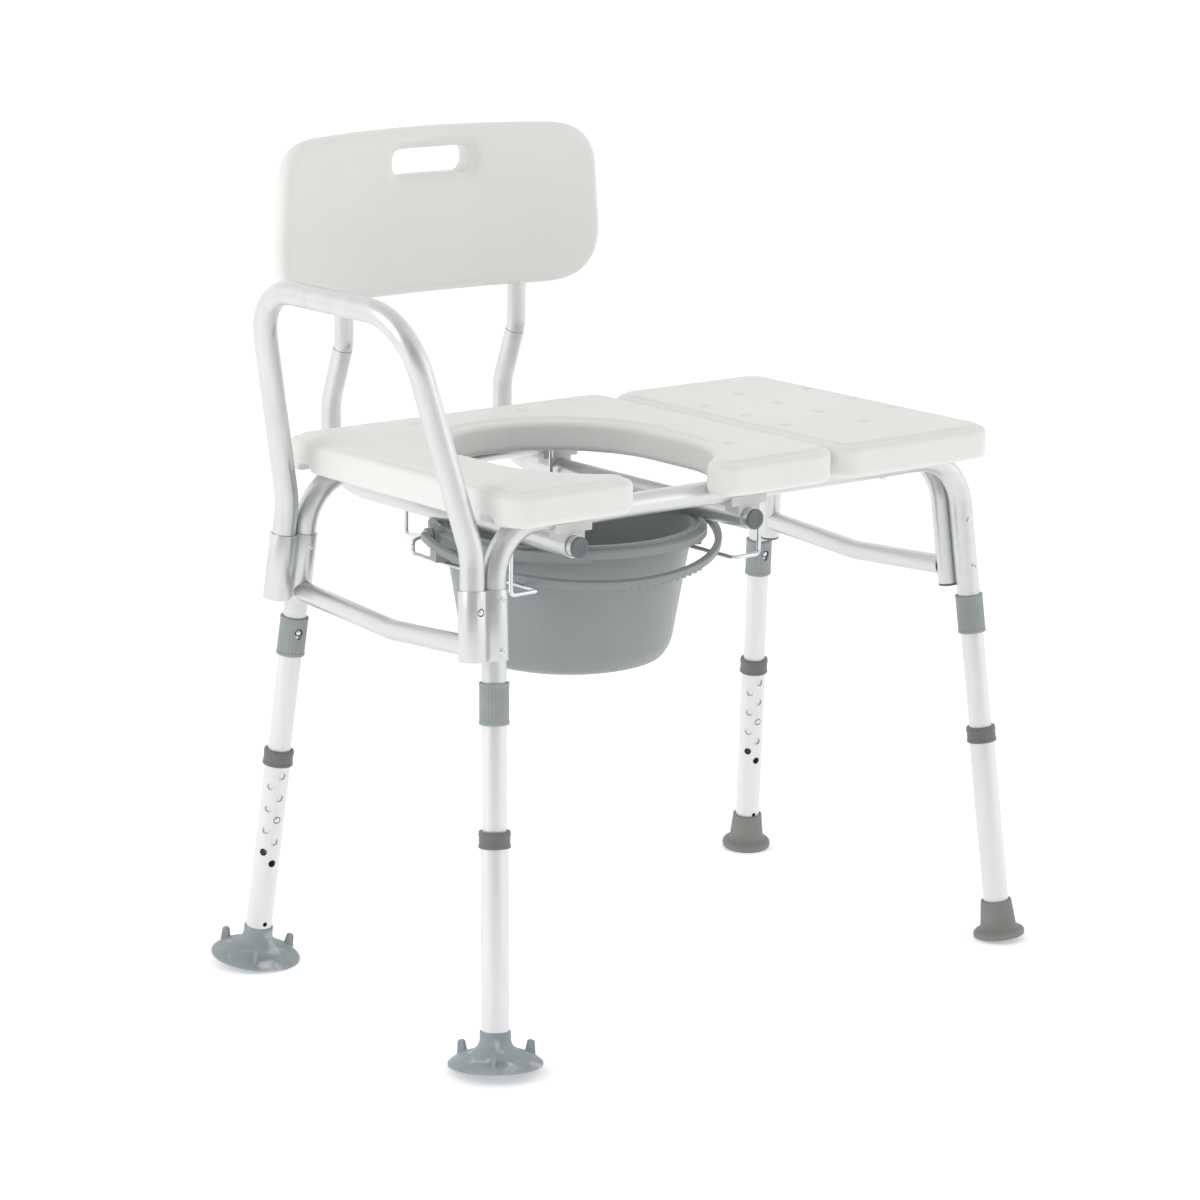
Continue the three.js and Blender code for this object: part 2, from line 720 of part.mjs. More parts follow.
// One side of the wire cradle: front post, run inwards, side rail, rear stop and rear post.
function cradleWire(side) {
  const at = (dx, y, z) => vec(BACK_MIDDLE + side * dx, y, z)
  const corners = [
    at(169, -132, SEAT_BOTTOM - GAP),
    at(169, -132, WIRE_Z),
    at(133.5, -132, WIRE_Z),
    at(133.5, 86, WIRE_Z),
    at(133.5, 86, WIRE_Z + 14),
    at(109, 98, WIRE_Z + 14),
    at(100, 143.5, WIRE_Z + 6),
    at(100, 143.5, SEAT_BOTTOM - GAP),
  ]
  return bentRod(corners, [5, 5, 5, 5, 5, 6], WIRE_RADIUS, 8, 3)
}

// The pail: a tapered bucket with a broad flange near its top and a lip above the flange.
function pailBody() {
  return turned(
    [
      [0, 360.5],
      [92, 360.5],
      [105, 364.5],
      [113.5, 379],
      [133.5, 498],
      [150, 498],
      [150, 506],
      [141.5, 507],
      [141.5, 510.5],
      [134.5, 510.5],
      [131.5, 505],
      [111.5, 378.5],
      [103.5, 366.5],
      [92, 363.2],
      [0, 363.2],
    ],
    24,
  )
}

// The pail with a lug at each side, which rests on a wire and carries a pin for the handle.
function pail() {
  const { pivotZ } = PAIL
  return [-1, 1].reduce((geometry, side) => {
    const lug = join(block(126, 152, -10, 10, 473.8, 500), block(141, 153, -10, 10, 488, 510.2))
    const hollow = block(137.5, 149.5, -7.5, 7.5, 470, 492)
    const pin = bar(vec(152, 0, pivotZ), vec(157, 0, pivotZ), 3.2, 10)
    const turn = side < 0 ? Math.PI : 0
    return join(geometry, join(cut(lug, hollow), pin).rotateZ(turn))
  }, pailBody())
}

// The bail handle: a half hoop with an eye over each pin.
function pailHandle() {
  const half = 4.2
  const { handleRadius } = PAIL
  const bow = new THREE.Shape()
  bow.absarc(0, 0, handleRadius + half, Math.PI, 2 * Math.PI)
  bow.absarc(0, 0, handleRadius - half + 1, 2 * Math.PI, Math.PI, true)
  bow.closePath()
  const hoop = new THREE.ExtrudeGeometry(bow, { depth: 2 * half, bevelEnabled: false, curveSegments: 14 })
  hoop.translate(0, 0, -half)
  const eyes = [-1, 1].map((side) => {
    const eye = new THREE.CylinderGeometry(8, 8, 7.4, 12).rotateZ(Math.PI / 2)
    return eye.translate(side * (handleRadius - 4.5), 0, 0)
  })
  const bores = bar(vec(-159.5, 0, 0), vec(159.5, 0, 0), 3.6, 10)
  return cut(join(hoop, ...eyes), bores)
}

// ---------------------------------------------------------------- arm

function armCorner(side, height) {
  const leg = LEGS.find((one) => one.suction && one.sideY === side)
  return legAtHeight(leg, height).add(socketShift(leg))
}

// The sideways step from a leg's axis to the arm socket's axis.
function socketShift(leg) {
  return squareToLeg(leg, vec(1, 0, 0)).multiplyScalar(-BRACKET_SPACING)
}

function armTube() {
  const corners = [
    armCorner(-1, ARM_END),
    armCorner(-1, ARM_KINK_Z),
    vec(ARM_TOP.x, -ARM_TOP.y, ARM_TOP.z),
    vec(ARM_TOP.x, ARM_TOP.y, ARM_TOP.z),
    armCorner(1, ARM_KINK_Z),
    armCorner(1, ARM_END),
  ]
  const holes = LEGS.filter((leg) => leg.suction).map((leg) => {
    const at = onLeg(leg, ARM_BUTTON_AT).add(socketShift(leg))
    const outwards = squareToLeg(leg, vec(0, leg.sideY, 0))
    return bar(at, at.clone().addScaledVector(outwards, 20), BUTTON_RADIUS + 2 * GAP, 8)
  })
  return cut(bentTube(corners, [90, 70, 70, 90], FRAME_TUBE, BORE_SIDES), ...holes)
}

function armButton(leg) {
  const group = legGroup(leg, vec(0, leg.sideY, 0))
  const button = mesh(
    `arm_button_${leg.sideY < 0 ? 'front' : 'rear'}`,
    snapButton(ARM_BUTTON_AT, 8.4, 15.8, 8.8),
    STEEL,
  )
  const inverse = group.quaternion.clone().invert()
  button.position.copy(socketShift(leg).applyQuaternion(inverse))
  group.add(button)
  return group
}

// ---------------------------------------------------------------- assembly

const bench = new THREE.Group()
LEGS.forEach((leg) => bench.add(makeLeg(leg)))
makeBrackets().forEach((bracket) => bench.add(bracket))

const frontLegs = LEGS.filter((leg) => leg.sideY < 0)
const rearLegs = LEGS.filter((leg) => leg.sideY > 0)
bench.add(
  mesh('front_rail', seatRail(frontLegs), ALUMINIUM),
  mesh('rear_rail', seatRail(rearLegs), ALUMINIUM),
  mesh('transfer_hoop', transferHoop(), ALUMINIUM),
  hoopPlug('hoop_plug_front', -1),
  hoopPlug('hoop_plug_rear', 1),
  mesh('cross_brace_arm_end', armEndBrace(), ALUMINIUM),
  mesh('cross_brace_transfer_end', transferEndBrace(), ALUMINIUM),
  mesh('seat_panel_opening', seatPanel(openingOutline), PANEL_PLASTIC),
  mesh('seat_panel_transfer', seatPanel(transferOutline), PANEL_PLASTIC),
  mesh('backrest_panel', backrestPanel(), PANEL_PLASTIC),
)

for (const [word, side] of [['left', -1], ['right', 1]]) {
  const x = BACK_MIDDLE + side * BACK_TUBE_SPACING
  const railY = LEG_Y - LEAN_Y * RAIL_Z
  bench.add(
    mesh(`back_sleeve_${word}`, backSleeve(x), ALUMINIUM),
    mesh(`back_tube_lower_${word}`, lowerBackTube(x), ALUMINIUM),
    mesh(`back_tube_upper_${word}`, upperBackTube(x), ALUMINIUM),
    mesh(`saddle_front_${word}`, saddle(x, -railY), SADDLE_PLASTIC),
    mesh(`saddle_rear_${word}`, saddle(x, railY), SADDLE_PLASTIC),
    mesh(`cradle_wire_${word}`, cradleWire(side), STEEL),
  )
  const plug = mesh(`back_tube_plug_${word}`, endPlug(BACK_TUBE, 2.4), PLUG_PLASTIC)
  plug.rotation.x = -Math.PI / 2
  plug.position.set(x, BACK.frontY - 2.4 - GAP, SLEEVE_Z)
  bench.add(plug)
}

const pailPlace = new THREE.Group()
pailPlace.position.set(PAIL.x, PAIL.y, 0)
pailPlace.rotation.z = PAIL_TURN
const handle = mesh('pail_handle', pailHandle(), PAIL_PLASTIC)
handle.position.z = PAIL.pivotZ
handle.rotation.x = HANDLE_DROP
pailPlace.add(mesh('pail', pail(), PAIL_PLASTIC), handle)
bench.add(pailPlace)

bench.add(mesh('arm_tube', armTube(), ALUMINIUM))
LEGS.filter((leg) => leg.suction).forEach((leg) => bench.add(armButton(leg)))

// The origin is on the floor, at the middle of the whole bench's outline.
bench.updateMatrixWorld(true)
const extent = new THREE.Box3().setFromObject(bench, true)
const middle = extent.getCenter(vec(0, 0, 0))
bench.position.set(-middle.x, -middle.y, -extent.min.z)

const group = new THREE.Group()
group.add(bench)
export default group
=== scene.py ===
import math

import bmesh
import bpy
from mathutils import Matrix, Vector


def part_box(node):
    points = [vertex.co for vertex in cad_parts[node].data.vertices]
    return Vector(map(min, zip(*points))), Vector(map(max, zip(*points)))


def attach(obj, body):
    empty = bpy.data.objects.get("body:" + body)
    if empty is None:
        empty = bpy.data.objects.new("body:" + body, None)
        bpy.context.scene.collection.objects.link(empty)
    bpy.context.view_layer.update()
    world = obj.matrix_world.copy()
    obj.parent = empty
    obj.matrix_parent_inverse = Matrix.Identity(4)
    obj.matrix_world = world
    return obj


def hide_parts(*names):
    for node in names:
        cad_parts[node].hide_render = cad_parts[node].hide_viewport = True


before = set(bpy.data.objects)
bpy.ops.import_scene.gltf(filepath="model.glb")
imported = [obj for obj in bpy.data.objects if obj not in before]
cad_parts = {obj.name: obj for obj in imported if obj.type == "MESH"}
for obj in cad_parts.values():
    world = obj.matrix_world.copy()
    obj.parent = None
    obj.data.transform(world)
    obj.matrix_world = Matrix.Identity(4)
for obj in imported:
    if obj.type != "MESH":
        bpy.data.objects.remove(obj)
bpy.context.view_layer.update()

# ---------------------------------------------------------------- driving dimensions

MM = 0.001
FINE = 48  # sides of a round piece
BEND_STEPS = 14
GAP = 0.3

LEG_X, LEG_Y = 361.6, 219.3
LEAN_X, LEAN_Y = 0.068, 0.1057
LEG_SLOPE = math.hypot(LEAN_X, LEAN_Y, 1)
LEG_TILT = math.atan(math.hypot(LEAN_X, LEAN_Y))

FRAME_TUBE = (12.7, 1.4)  # radius and wall
LEG_TUBE = (12.7, 1.6)
EXTENSION_TUBE = (14.3, 1.3)
BRACE_TUBE = (11.1, 1.4)
SLEEVE_TUBE = (12.7, 1.25)
BACK_TUBE = (11.1, 1.4)
UPPER_TUBE = (10.5, 1.4)

STUB_END = 372
SPIGOT_TOP = 402
COLLAR_BOTTOM, COLLAR_TOP = 357.4, 400.4
COLLAR_BUTTON_AT = 385
HEIGHT_BUTTON_AT = 170
LEG_TUBE_BOTTOM = 136.7
RING_BOTTOM, RING_TOP = 231, 248.4
EXTENSION_TOP = 244.5
DRAIN_HOLE_AT = 47.5
HOLE_PITCH = 12.7
HOLE_COUNT = 9
HOLE_RADIUS = 4.2
COLUMN_ANGLE = math.radians(-46)
BUTTON_TURN = math.radians(-8)
BUTTON_RADIUS = 3.5
SUCTION_RADIUS = 49.1
TIP_RADIUS = 28.9

RAIL_Z = 554.5
RAIL_Y = LEG_Y - LEAN_Y * RAIL_Z
RAIL_BEND = 60
BRACKET_SPACING = 27
BRACKET_RADIUS = 14.65
BRACKET_BOTTOM, BRACKET_TOP = 423, 495
ARM_END = 428
ARM_BUTTON_AT = BRACKET_TOP - 21
ARM_KINK_Z = 526.4
ARM_TOP = (-410.6, 128.5, 769)
HOOP_X, HOOP_Y, HOOP_BOTTOM, HOOP_TOP, HOOP_BEND = 327.5, 151.2, 407, 545, 50

SEAT_TOP, SEAT_BOTTOM = 594.6, 557
SEAT_CORNER = 29
SEAT_MIDDLE = -112
SEAT_FRONT = -207
OPENING_RADIUS = 125
OPENING_STRAIGHT = 60
CHANNEL_HALF = 58
LOBE_ROUND = 20
PLATEAU_RISE = 3.2
PLATEAU_INSET = 11

BACK_TUBE_SPACING = 119
SLEEVE_Z = 523.7
SLEEVE_FRONT_Y, SLEEVE_REAR_Y = -172, 197
BACK_MIDDLE = -110
BACK_FRONT_Y, BACK_REAR_Y, BACK_KINK_Z = -180, 258, 610
SEAM = (235.7, 671.5)
UPPER = (233.2, 678.4)
UPPER_TOP = 880
PANEL_X, PANEL_Y, PANEL_BOW, PANEL_THICK = -112, 241.5, 878, 28
PANEL_BOTTOM, PANEL_SHOULDER, PANEL_CROWN = 724, 904.5, 908
PANEL_HALF_BOTTOM, PANEL_HALF_TOP = 219, 212
SLOT_HALF, SLOT_BOTTOM, SLOT_TOP = 55, 854.5, 886

PAIL_X, PAIL_Y, PIVOT_Z, HANDLE_RADIUS = -111, -14, 502, 162
PAIL_TURN = math.radians(-18)
HANDLE_DROP = math.radians(10.2)
GRIP_RIDGES, GRIP_STEP = 12, 3.4
EAR_HALF = 10
SKIRT_SPAN = (math.radians(-205), math.radians(-101))  # where the rim hangs a little lower
WIRE_RADIUS = 2.4
WIRE_Z = 471

TRANSFER_PANEL_CORNER = Vector((112, SEAT_FRONT, SEAT_BOTTOM)) * MM
ORIGIN = Vector(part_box("seat_panel_transfer")[0]) - TRANSFER_PANEL_CORNER

# ---------------------------------------------------------------- meshes


def to_row(matrix=None):
    """The matrix from design millimetres, or from a local frame in them, to the row frame in metres."""
    scale = Matrix.Translation(ORIGIN) @ Matrix.Scale(MM, 4)
    return scale if matrix is None else scale @ matrix


def link(name, mesh):
    obj = bpy.data.objects.new(name, mesh)
    bpy.context.scene.collection.objects.link(obj)
    return obj


def build(name, solids, matrix=None):
    """One object from (vertices, faces) solids given in millimetres."""
    verts, faces = [], []
    for solid_verts, solid_faces in solids:
        start = len(verts)
        verts += [Vector(v) for v in solid_verts]
        faces += [[start + i for i in face] for face in solid_faces]
    mesh = bpy.data.meshes.new(name)
    mesh.from_pydata(verts, [], faces)
    mesh.transform(to_row(matrix))
    tidy(mesh)
    return link(name, mesh)


def tidy(mesh):
    bm = bmesh.new()
    bm.from_mesh(mesh)
    bmesh.ops.remove_doubles(bm, verts=bm.verts, dist=1e-7)
    bmesh.ops.recalc_face_normals(bm, faces=bm.faces)
    bm.to_mesh(mesh)
    bm.free()


def soften(obj, angle=34):
    """Smooth shading, with the edges sharper than the angle kept crisp."""
    bm = bmesh.new()
    bm.from_mesh(obj.data)
    for face in bm.faces:
        face.smooth = True
    for edge in bm.edges:
        edge.smooth = edge.calc_face_angle(0) < math.radians(angle)
    bm.to_mesh(obj.data)
    bm.free()


def bake(obj):
    """Applies the object's modifiers to its mesh."""
    graph = bpy.context.evaluated_depsgraph_get()
    mesh = bpy.data.meshes.new_from_object(obj.evaluated_get(graph))
    obj.modifiers.clear()
    obj.data = mesh


def carve(obj, tool, operation="DIFFERENCE"):
    modifier = obj.modifiers.new("carve", "BOOLEAN")
    modifier.operation = operation
    modifier.solver = "MANIFOLD"
    modifier.object = tool
    bake(obj)
    bpy.data.objects.remove(tool, do_unlink=True)
    return obj


def lathe(profile, segments=FINE, warp=None):
    """A closed profile of (radius, height) pairs turned about Z."""
    verts, rings = [], []
    for radius, height in profile:
        count = 1 if radius < 1e-6 else segments
        rings.append([len(verts) + i for i in range(count)])
        for i in range(count):
            angle = 2 * math.pi * i / segments
            reach = warp(radius, height, angle) if warp else radius
            verts.append((reach * math.cos(angle), reach * math.sin(angle), height))
    faces = []
    for low, high in zip(rings, rings[1:] + rings[:1]):
        if len(low) == 1 and len(high) == 1:
            continue
        for i in range(segments):
            j = (i + 1) % segments
            corners = [low[i % len(low)], low[j % len(low)], high[j % len(high)], high[i % len(high)]]
            faces.append(list(dict.fromkeys(corners)))
    return verts, faces


def rounded(points, radius, steps=4, closed=True):
    """The outline with each corner rounded; radius is one number or one for each point."""
    radii = radius if isinstance(radius, (list, tuple)) else [radius] * len(points)
    result = []
    for i, point in enumerate(points):
        here = Vector(point)
        if not closed and i in (0, len(points) - 1):
            result.append(here)
            continue
        before = Vector(points[i - 1]) - here
        after = Vector(points[(i + 1) % len(points)]) - here
        reach = min(radii[i], before.length * 0.45, after.length * 0.45)
        if reach < 0.05:
            result.append(here)
            continue
        start = here + before.normalized() * reach
        end = here + after.normalized() * reach
        for k in range(steps + 1):
            t = k / steps
            result.append(start * (1 - t) ** 2 + here * 2 * t * (1 - t) + end * t * t)
    return result


def bend_path(corners, radii, steps=BEND_STEPS):
    """Points and tangents along straight runs with an arc at each inner corner."""
    corners = [Vector(c) for c in corners]
    points = [corners[0]]
    tangents = [(corners[1] - corners[0]).normalized()]
    for i, radius in enumerate(radii, start=1):
        incoming = (corners[i] - corners[i - 1]).normalized()
        outgoing = (corners[i + 1] - corners[i]).normalized()
        turn = incoming.angle(outgoing)
        start = corners[i] - incoming * radius * math.tan(turn / 2)
        inward = (outgoing - incoming * incoming.dot(outgoing)).normalized()
        for k in range(steps + 1):
            angle = turn * k / steps
            along, across = radius * math.sin(angle), radius * (1 - math.cos(angle))
            points.append(start + incoming * along + inward * across)
            tangents.append(incoming * math.cos(angle) + inward * math.sin(angle))
    points.append(corners[-1])
    tangents.append((corners[-1] - corners[-2]).normalized())
    return points, tangents


def sweep(path, sections, sides=FINE):
    """A closed solid swept along the path; sections are its radii, the outer one first."""
    points, tangents = path
    normal = tangents[0].orthogonal().normalized()
    normals = [normal]
    for before, after in zip(tangents, tangents[1:]):
        turn = before.rotation_difference(after)
        normals.append((turn @ normals[-1]).normalized())
    verts, loops = [], []
    for radius in sections:
        rows = []
        for point, tangent, across in zip(points, tangents, normals):
            side = tangent.cross(across)
            rows.append([len(verts) + i for i in range(sides)])
            for i in range(sides):
                angle = 2 * math.pi * i / sides
                verts.append(point + (across * math.cos(angle) + side * math.sin(angle)) * radius)
        loops.append(rows)
    faces = []
    for rows in loops:
        for low, high in zip(rows, rows[1:]):
            faces += [[low[i], low[(i + 1) % sides], high[(i + 1) % sides], high[i]] for i in range(sides)]
    for end in (0, -1):
        if len(loops) == 1:
            faces.append(loops[0][end])
        else:
            outer, inner = loops[0][end], loops[1][end]
            for i in range(sides):
                j = (i + 1) % sides
                faces.append([outer[i], outer[j], inner[j], inner[i]])
    return verts, faces


def tube(corners, radii, size):
    radius, wall = size
    return sweep(bend_path(corners, radii), [radius, radius - wall])


def rod(corners, radii, radius, sides=16, steps=6):
    return sweep(bend_path(corners, radii, steps), [radius], sides)


def bar(start, end, radius, sides=32):
    start, end = Vector(start), Vector(end)
    direction = (end - start).normalized()
    return sweep(([start, end], [direction, direction]), [radius], sides)


def prism(outline, low, high):
    """A flat outline of (x, y) points raised from low to high."""
    count = len(outline)
    verts = [(p[0], p[1], low) for p in outline] + [(p[0], p[1], high) for p in outline]
    faces = [list(range(count)), list(range(count, 2 * count))]
    faces += [[i, (i + 1) % count, count + (i + 1) % count, count + i] for i in range(count)]
    return verts, faces


def block(x0, x1, y0, y1, z0, z1):
    return prism([(x0, y0), (x1, y0), (x1, y1), (x0, y1)], z0, z1)


def moved(solid, matrix):
    verts, faces = solid
    return [matrix @ Vector(v) for v in verts], faces


def arc(cx, cy, radius, start, end, steps=18):
    angles = [start + (end - start) * k / steps for k in range(steps + 1)]
    return [(cx + radius * math.cos(angle), cy + radius * math.sin(angle)) for angle in angles]


# ---------------------------------------------------------------- materials


def mix(nodes, links, factor, low, high):
    node = nodes.new("ShaderNodeMix")
    node.data_type = "RGBA"
    node.inputs[6].default_value = (*low, 1)
    node.inputs[7].default_value = (*high, 1)
    links.new(factor, node.inputs[0])
    return node.outputs[2]


def noise(nodes, links, scale, detail=3, stretch=(1, 1, 1), low=0.35, high=0.65):
    """A noise of 0 to 1 over the object's own coordinates, in metres."""
    place = nodes.new("ShaderNodeTexCoord")
    mapping = nodes.new("ShaderNodeMapping")
    mapping.inputs["Scale"].default_value = stretch
    texture = nodes.new("ShaderNodeTexNoise")
    texture.inputs["Scale"].default_value = scale
    texture.inputs["Detail"].default_value = detail
    spread = nodes.new("ShaderNodeMapRange")
    spread.inputs["From Min"].default_value = low
    spread.inputs["From Max"].default_value = high
    links.new(place.outputs["Object"], mapping.inputs["Vector"])
    links.new(mapping.outputs["Vector"], texture.inputs["Vector"])
    links.new(texture.outputs["Fac"], spread.inputs["Value"])
    return spread.outputs["Result"]


def scaled(nodes, links, value, low, high):
    node = nodes.new("ShaderNodeMapRange")
    node.inputs["To Min"].default_value = low
    node.inputs["To Max"].default_value = high
    links.new(value, node.inputs["Value"])
    return node.outputs["Result"]


def material(name, colour, roughness, metallic=0.0, mottle=0.04, mottle_scale=30, stretch=(1, 1, 1),
             grain=0.1, grain_scale=900, marks=None, specular=0.5):
    """A finish with mottled colour, uneven gloss and a fine grain; marks is (colour, scale, from, to)."""
    made = bpy.data.materials.new(name)
    made.use_nodes = True
    nodes, links = made.node_tree.nodes, made.node_tree.links
    shader = nodes["Principled BSDF"]
    shader.inputs["Metallic"].default_value = metallic
    shader.inputs["Specular IOR Level"].default_value = specular
    broad = noise(nodes, links, mottle_scale, 4, stretch)
    dark = tuple(c * (1 - mottle) for c in colour)
    light = tuple(min(1, c * (1 + mottle)) for c in colour)
    paint = mix(nodes, links, broad, dark, light)
    if marks:
        mark_colour, scale, start, end = marks
        patches = noise(nodes, links, scale, 6, (1, 1, 1), start, end)
        blend = nodes.new("ShaderNodeMix")
        blend.data_type = "RGBA"
        blend.inputs[7].default_value = (*mark_colour, 1)
        links.new(patches, blend.inputs[0])
        links.new(paint, blend.inputs[6])
        paint = blend.outputs[2]
    links.new(paint, shader.inputs["Base Color"])
    gloss = noise(nodes, links, mottle_scale * 4, 3, stretch)
    links.new(scaled(nodes, links, gloss, roughness * 0.88, roughness * 1.12), shader.inputs["Roughness"])
    fine = noise(nodes, links, grain_scale, 2, stretch, 0, 1)
    bump = nodes.new("ShaderNodeBump")
    bump.inputs["Strength"].default_value = grain
    bump.inputs["Distance"].default_value = 0.0003
    links.new(fine, bump.inputs["Height"])
    links.new(bump.outputs["Normal"], shader.inputs["Normal"])
    return made


def drawn(name, axis):
    """Satin anodised aluminium tube with faint draw lines along one axis."""
    stretch = [1.0, 1.0, 1.0]
    stretch[axis] = 0.03
    return material(name, (0.68, 0.69, 0.69), 0.33, 0.85, 0.03, 120, tuple(stretch), 0.06, 1500)


ALUMINIUM = {letter: drawn(f"aluminium_along_{letter}", axis) for axis, letter in enumerate("xyz")}
WHITE_COAT = material("leg_tube_finish", (0.77, 0.775, 0.77), 0.36, 0.55, 0.02, 110, (1, 1, 0.03), 0.05, 1500)
PANEL = material("panel_polyethylene", (0.81, 0.81, 0.785), 0.52, 0, 0.012, 9, (1, 1, 1), 0.16, 700)
COLLAR = material("collar_polymer", (0.30, 0.33, 0.33), 0.5, 0, 0.05, 60, (1, 1, 1), 0.12, 900)
RING = material("ring_polymer", (0.155, 0.157, 0.156), 0.48, 0, 0.06, 60, (1, 1, 1), 0.12, 900)
CHALK = ((0.55, 0.58, 0.6), 55, 0.56, 0.72)
FOOT = material("suction_rubber", (0.30, 0.34, 0.355), 0.62, 0, 0.07, 45, (1, 1, 1), 0.25, 650, CHALK)
TIP = material("tip_rubber", (0.235, 0.235, 0.225), 0.66, 0, 0.06, 50, (1, 1, 1), 0.25, 650)
PAIL = material("pail_polypropylene", (0.27, 0.29, 0.295), 0.36, 0, 0.03, 14, (1, 1, 1), 0.1, 800)
STEEL = material("bright_zinc", (0.72, 0.74, 0.76), 0.22, 1.0, 0.05, 90, (1, 1, 1), 0.08, 1300)
SADDLE = material("saddle_polymer", (0.62, 0.63, 0.62), 0.5, 0, 0.03, 50, (1, 1, 1), 0.15, 700)
PLUG = material("plug_polymer", (0.135, 0.145, 0.15), 0.45, 0, 0.06, 70, (1, 1, 1), 0.12, 900)


def place(obj, body, nodes, finish, slot, angle=34):
    """Gives a finished piece its material, its shading and its body, and hides the CAD nodes that it stands
    for.
    """
    obj.data.materials.clear()
    obj.data.materials.append(finish)
    soften(obj, angle)
    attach(obj, body)
    if nodes:
        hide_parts(*nodes)
    return obj


# ---------------------------------------------------------------- legs

LEGS = {
    "arm_front": (-1, -1),
    "arm_rear": (-1, 1),
    "transfer_front": (1, -1),
    "transfer_rear": (1, 1),
}


def on_leg(leg, distance):
    side_x, side_y = LEGS[leg]
    height = distance / LEG_SLOPE
    return Vector((side_x * (LEG_X - LEAN_X * height), side_y * (LEG_Y - LEAN_Y * height), height))


def leg_at_height(leg, height):
    return on_leg(leg, height * LEG_SLOPE)


def leg_up(leg):
    side_x, side_y = LEGS[leg]
    return Vector((-side_x * LEAN_X, -side_y * LEAN_Y, 1)).normalized()


def square_to_leg(leg, direction):
    up = leg_up(leg)
    direction = Vector(direction)
    return (direction - up * direction.dot(up)).normalized()


def button_side(leg):
    inward = square_to_leg(leg, (0, -LEGS[leg][1], 0))
    return Matrix.Rotation(BUTTON_TURN, 3, leg_up(leg)) @ inward


def leg_frame(leg, towards):
    """Z runs up the leg from its foot point, and X points the given way."""
    up = leg_up(leg)
    across = square_to_leg(leg, towards)
    side = up.cross(across)
    turn = Matrix((across, side, up)).transposed().to_4x4()
    return Matrix.Translation(on_leg(leg, 0)) @ turn


def radial(height, radius, start=0, length=24, angle=0, sides=24):
    """A round tool that leaves the local Z axis at a height."""
    direction = Vector((math.cos(angle), math.sin(angle), 0))
    base = Vector((0, 0, height))
    return bar(base + direction * start, base + direction * (start + length), radius, sides)


def ribbed(depth, count, low, high):
    """Shallow flutes round a turned piece, between two heights."""

    def warp(radius, height, angle):
        if not low <= height <= high:
            return radius
        return radius - depth * (0.5 - 0.5 * math.cos(count * angle)) ** 2

    return warp


def button(height, head_from, head_to, leaf_at):
    dome = 1.3
    length = head_to - head_from
    corners = [(0, 0), (BUTTON_RADIUS, 0), (BUTTON_RADIUS, length - dome), (0, length)]
    head = lathe(rounded(corners, [0, 0.3, 1.6, 0]), 24)
    turn = Matrix.Rotation(math.pi / 2, 4, "Y")
    head = moved(head, Matrix.Translation((head_from, 0, height)) @ turn)
    leaf = block(leaf_at - 1, leaf_at, -BUTTON_RADIUS, BUTTON_RADIUS, height - 28, height + 5)
    return head, leaf


def leg_tube(leg, matrix):
    outer, wall = LEG_TUBE
    inner = outer - wall
    top = STUB_END - 0.5
    profile = rounded(
        [(inner, LEG_TUBE_BOTTOM), (outer, LEG_TUBE_BOTTOM), (outer, top), (10.8, top), (10.8, SPIGOT_TOP),
         (9.3, SPIGOT_TOP), (9.3, STUB_END - 10), (inner, STUB_END - 15)],
        0.5,
    )
    obj = build(f"visual_leg_tube_{leg}", [lathe(profile)], matrix)
    tools = [radial(at, BUTTON_RADIUS + GAP, 4) for at in (HEIGHT_BUTTON_AT, COLLAR_BUTTON_AT)]
    carve(obj, build("tool", tools, matrix))
    place(obj, f"leg_{leg}", [f"leg_tube_{leg}"], WHITE_COAT, "white_coat")


def collar(leg, matrix):
    inner, outer = FRAME_TUBE[0] + GAP, 15.6
    low, high = COLLAR_BOTTOM, COLLAR_TOP
    rim = 3.2
    profile = rounded(
        [(inner, low), (outer, low), (outer, low + rim), (outer - 0.35, low + rim + 0.4),
         (outer - 0.35, high - rim - 0.4), (outer, high - rim), (outer, high), (inner, high)],
        0.5, 3,
    )
    warp = ribbed(0.45, 26, low + rim + 0.3, high - rim - 0.3)
    obj = build(f"visual_collar_{leg}", [lathe(profile, 208, warp)], matrix)
    carve(obj, build("tool", [radial(COLLAR_BUTTON_AT, 4.9, 5)], matrix))
    carve(obj, build("tool", [radial(COLLAR_BUTTON_AT - 5, 3, 5)], matrix))
    place(obj, "frame", [f"collar_{leg}"], COLLAR, "collar_plastic")


def extension_tube(leg, base, matrix):
    radius, wall = EXTENSION_TUBE
    inner, bottom = radius - wall, base + 10
    corners = [(inner, bottom), (radius, bottom), (radius, EXTENSION_TOP), (inner, EXTENSION_TOP)]
    profile = rounded(corners, 0.4)
    obj = build(f"visual_extension_tube_{leg}", [lathe(profile)], matrix)
    tools = [radial(DRAIN_HOLE_AT, 2.6, 8)]
    for i in range(HOLE_COUNT):
        at = HEIGHT_BUTTON_AT + (i - (HOLE_COUNT - 1) / 2) * HOLE_PITCH
        tools.append(radial(at, HOLE_RADIUS, 8, angle=COLUMN_ANGLE * (i % 2)))
    carve(obj, build("tool", tools, matrix))
    place(obj, f"extension_{leg}", [f"extension_tube_{leg}"], WHITE_COAT, "white_coat")


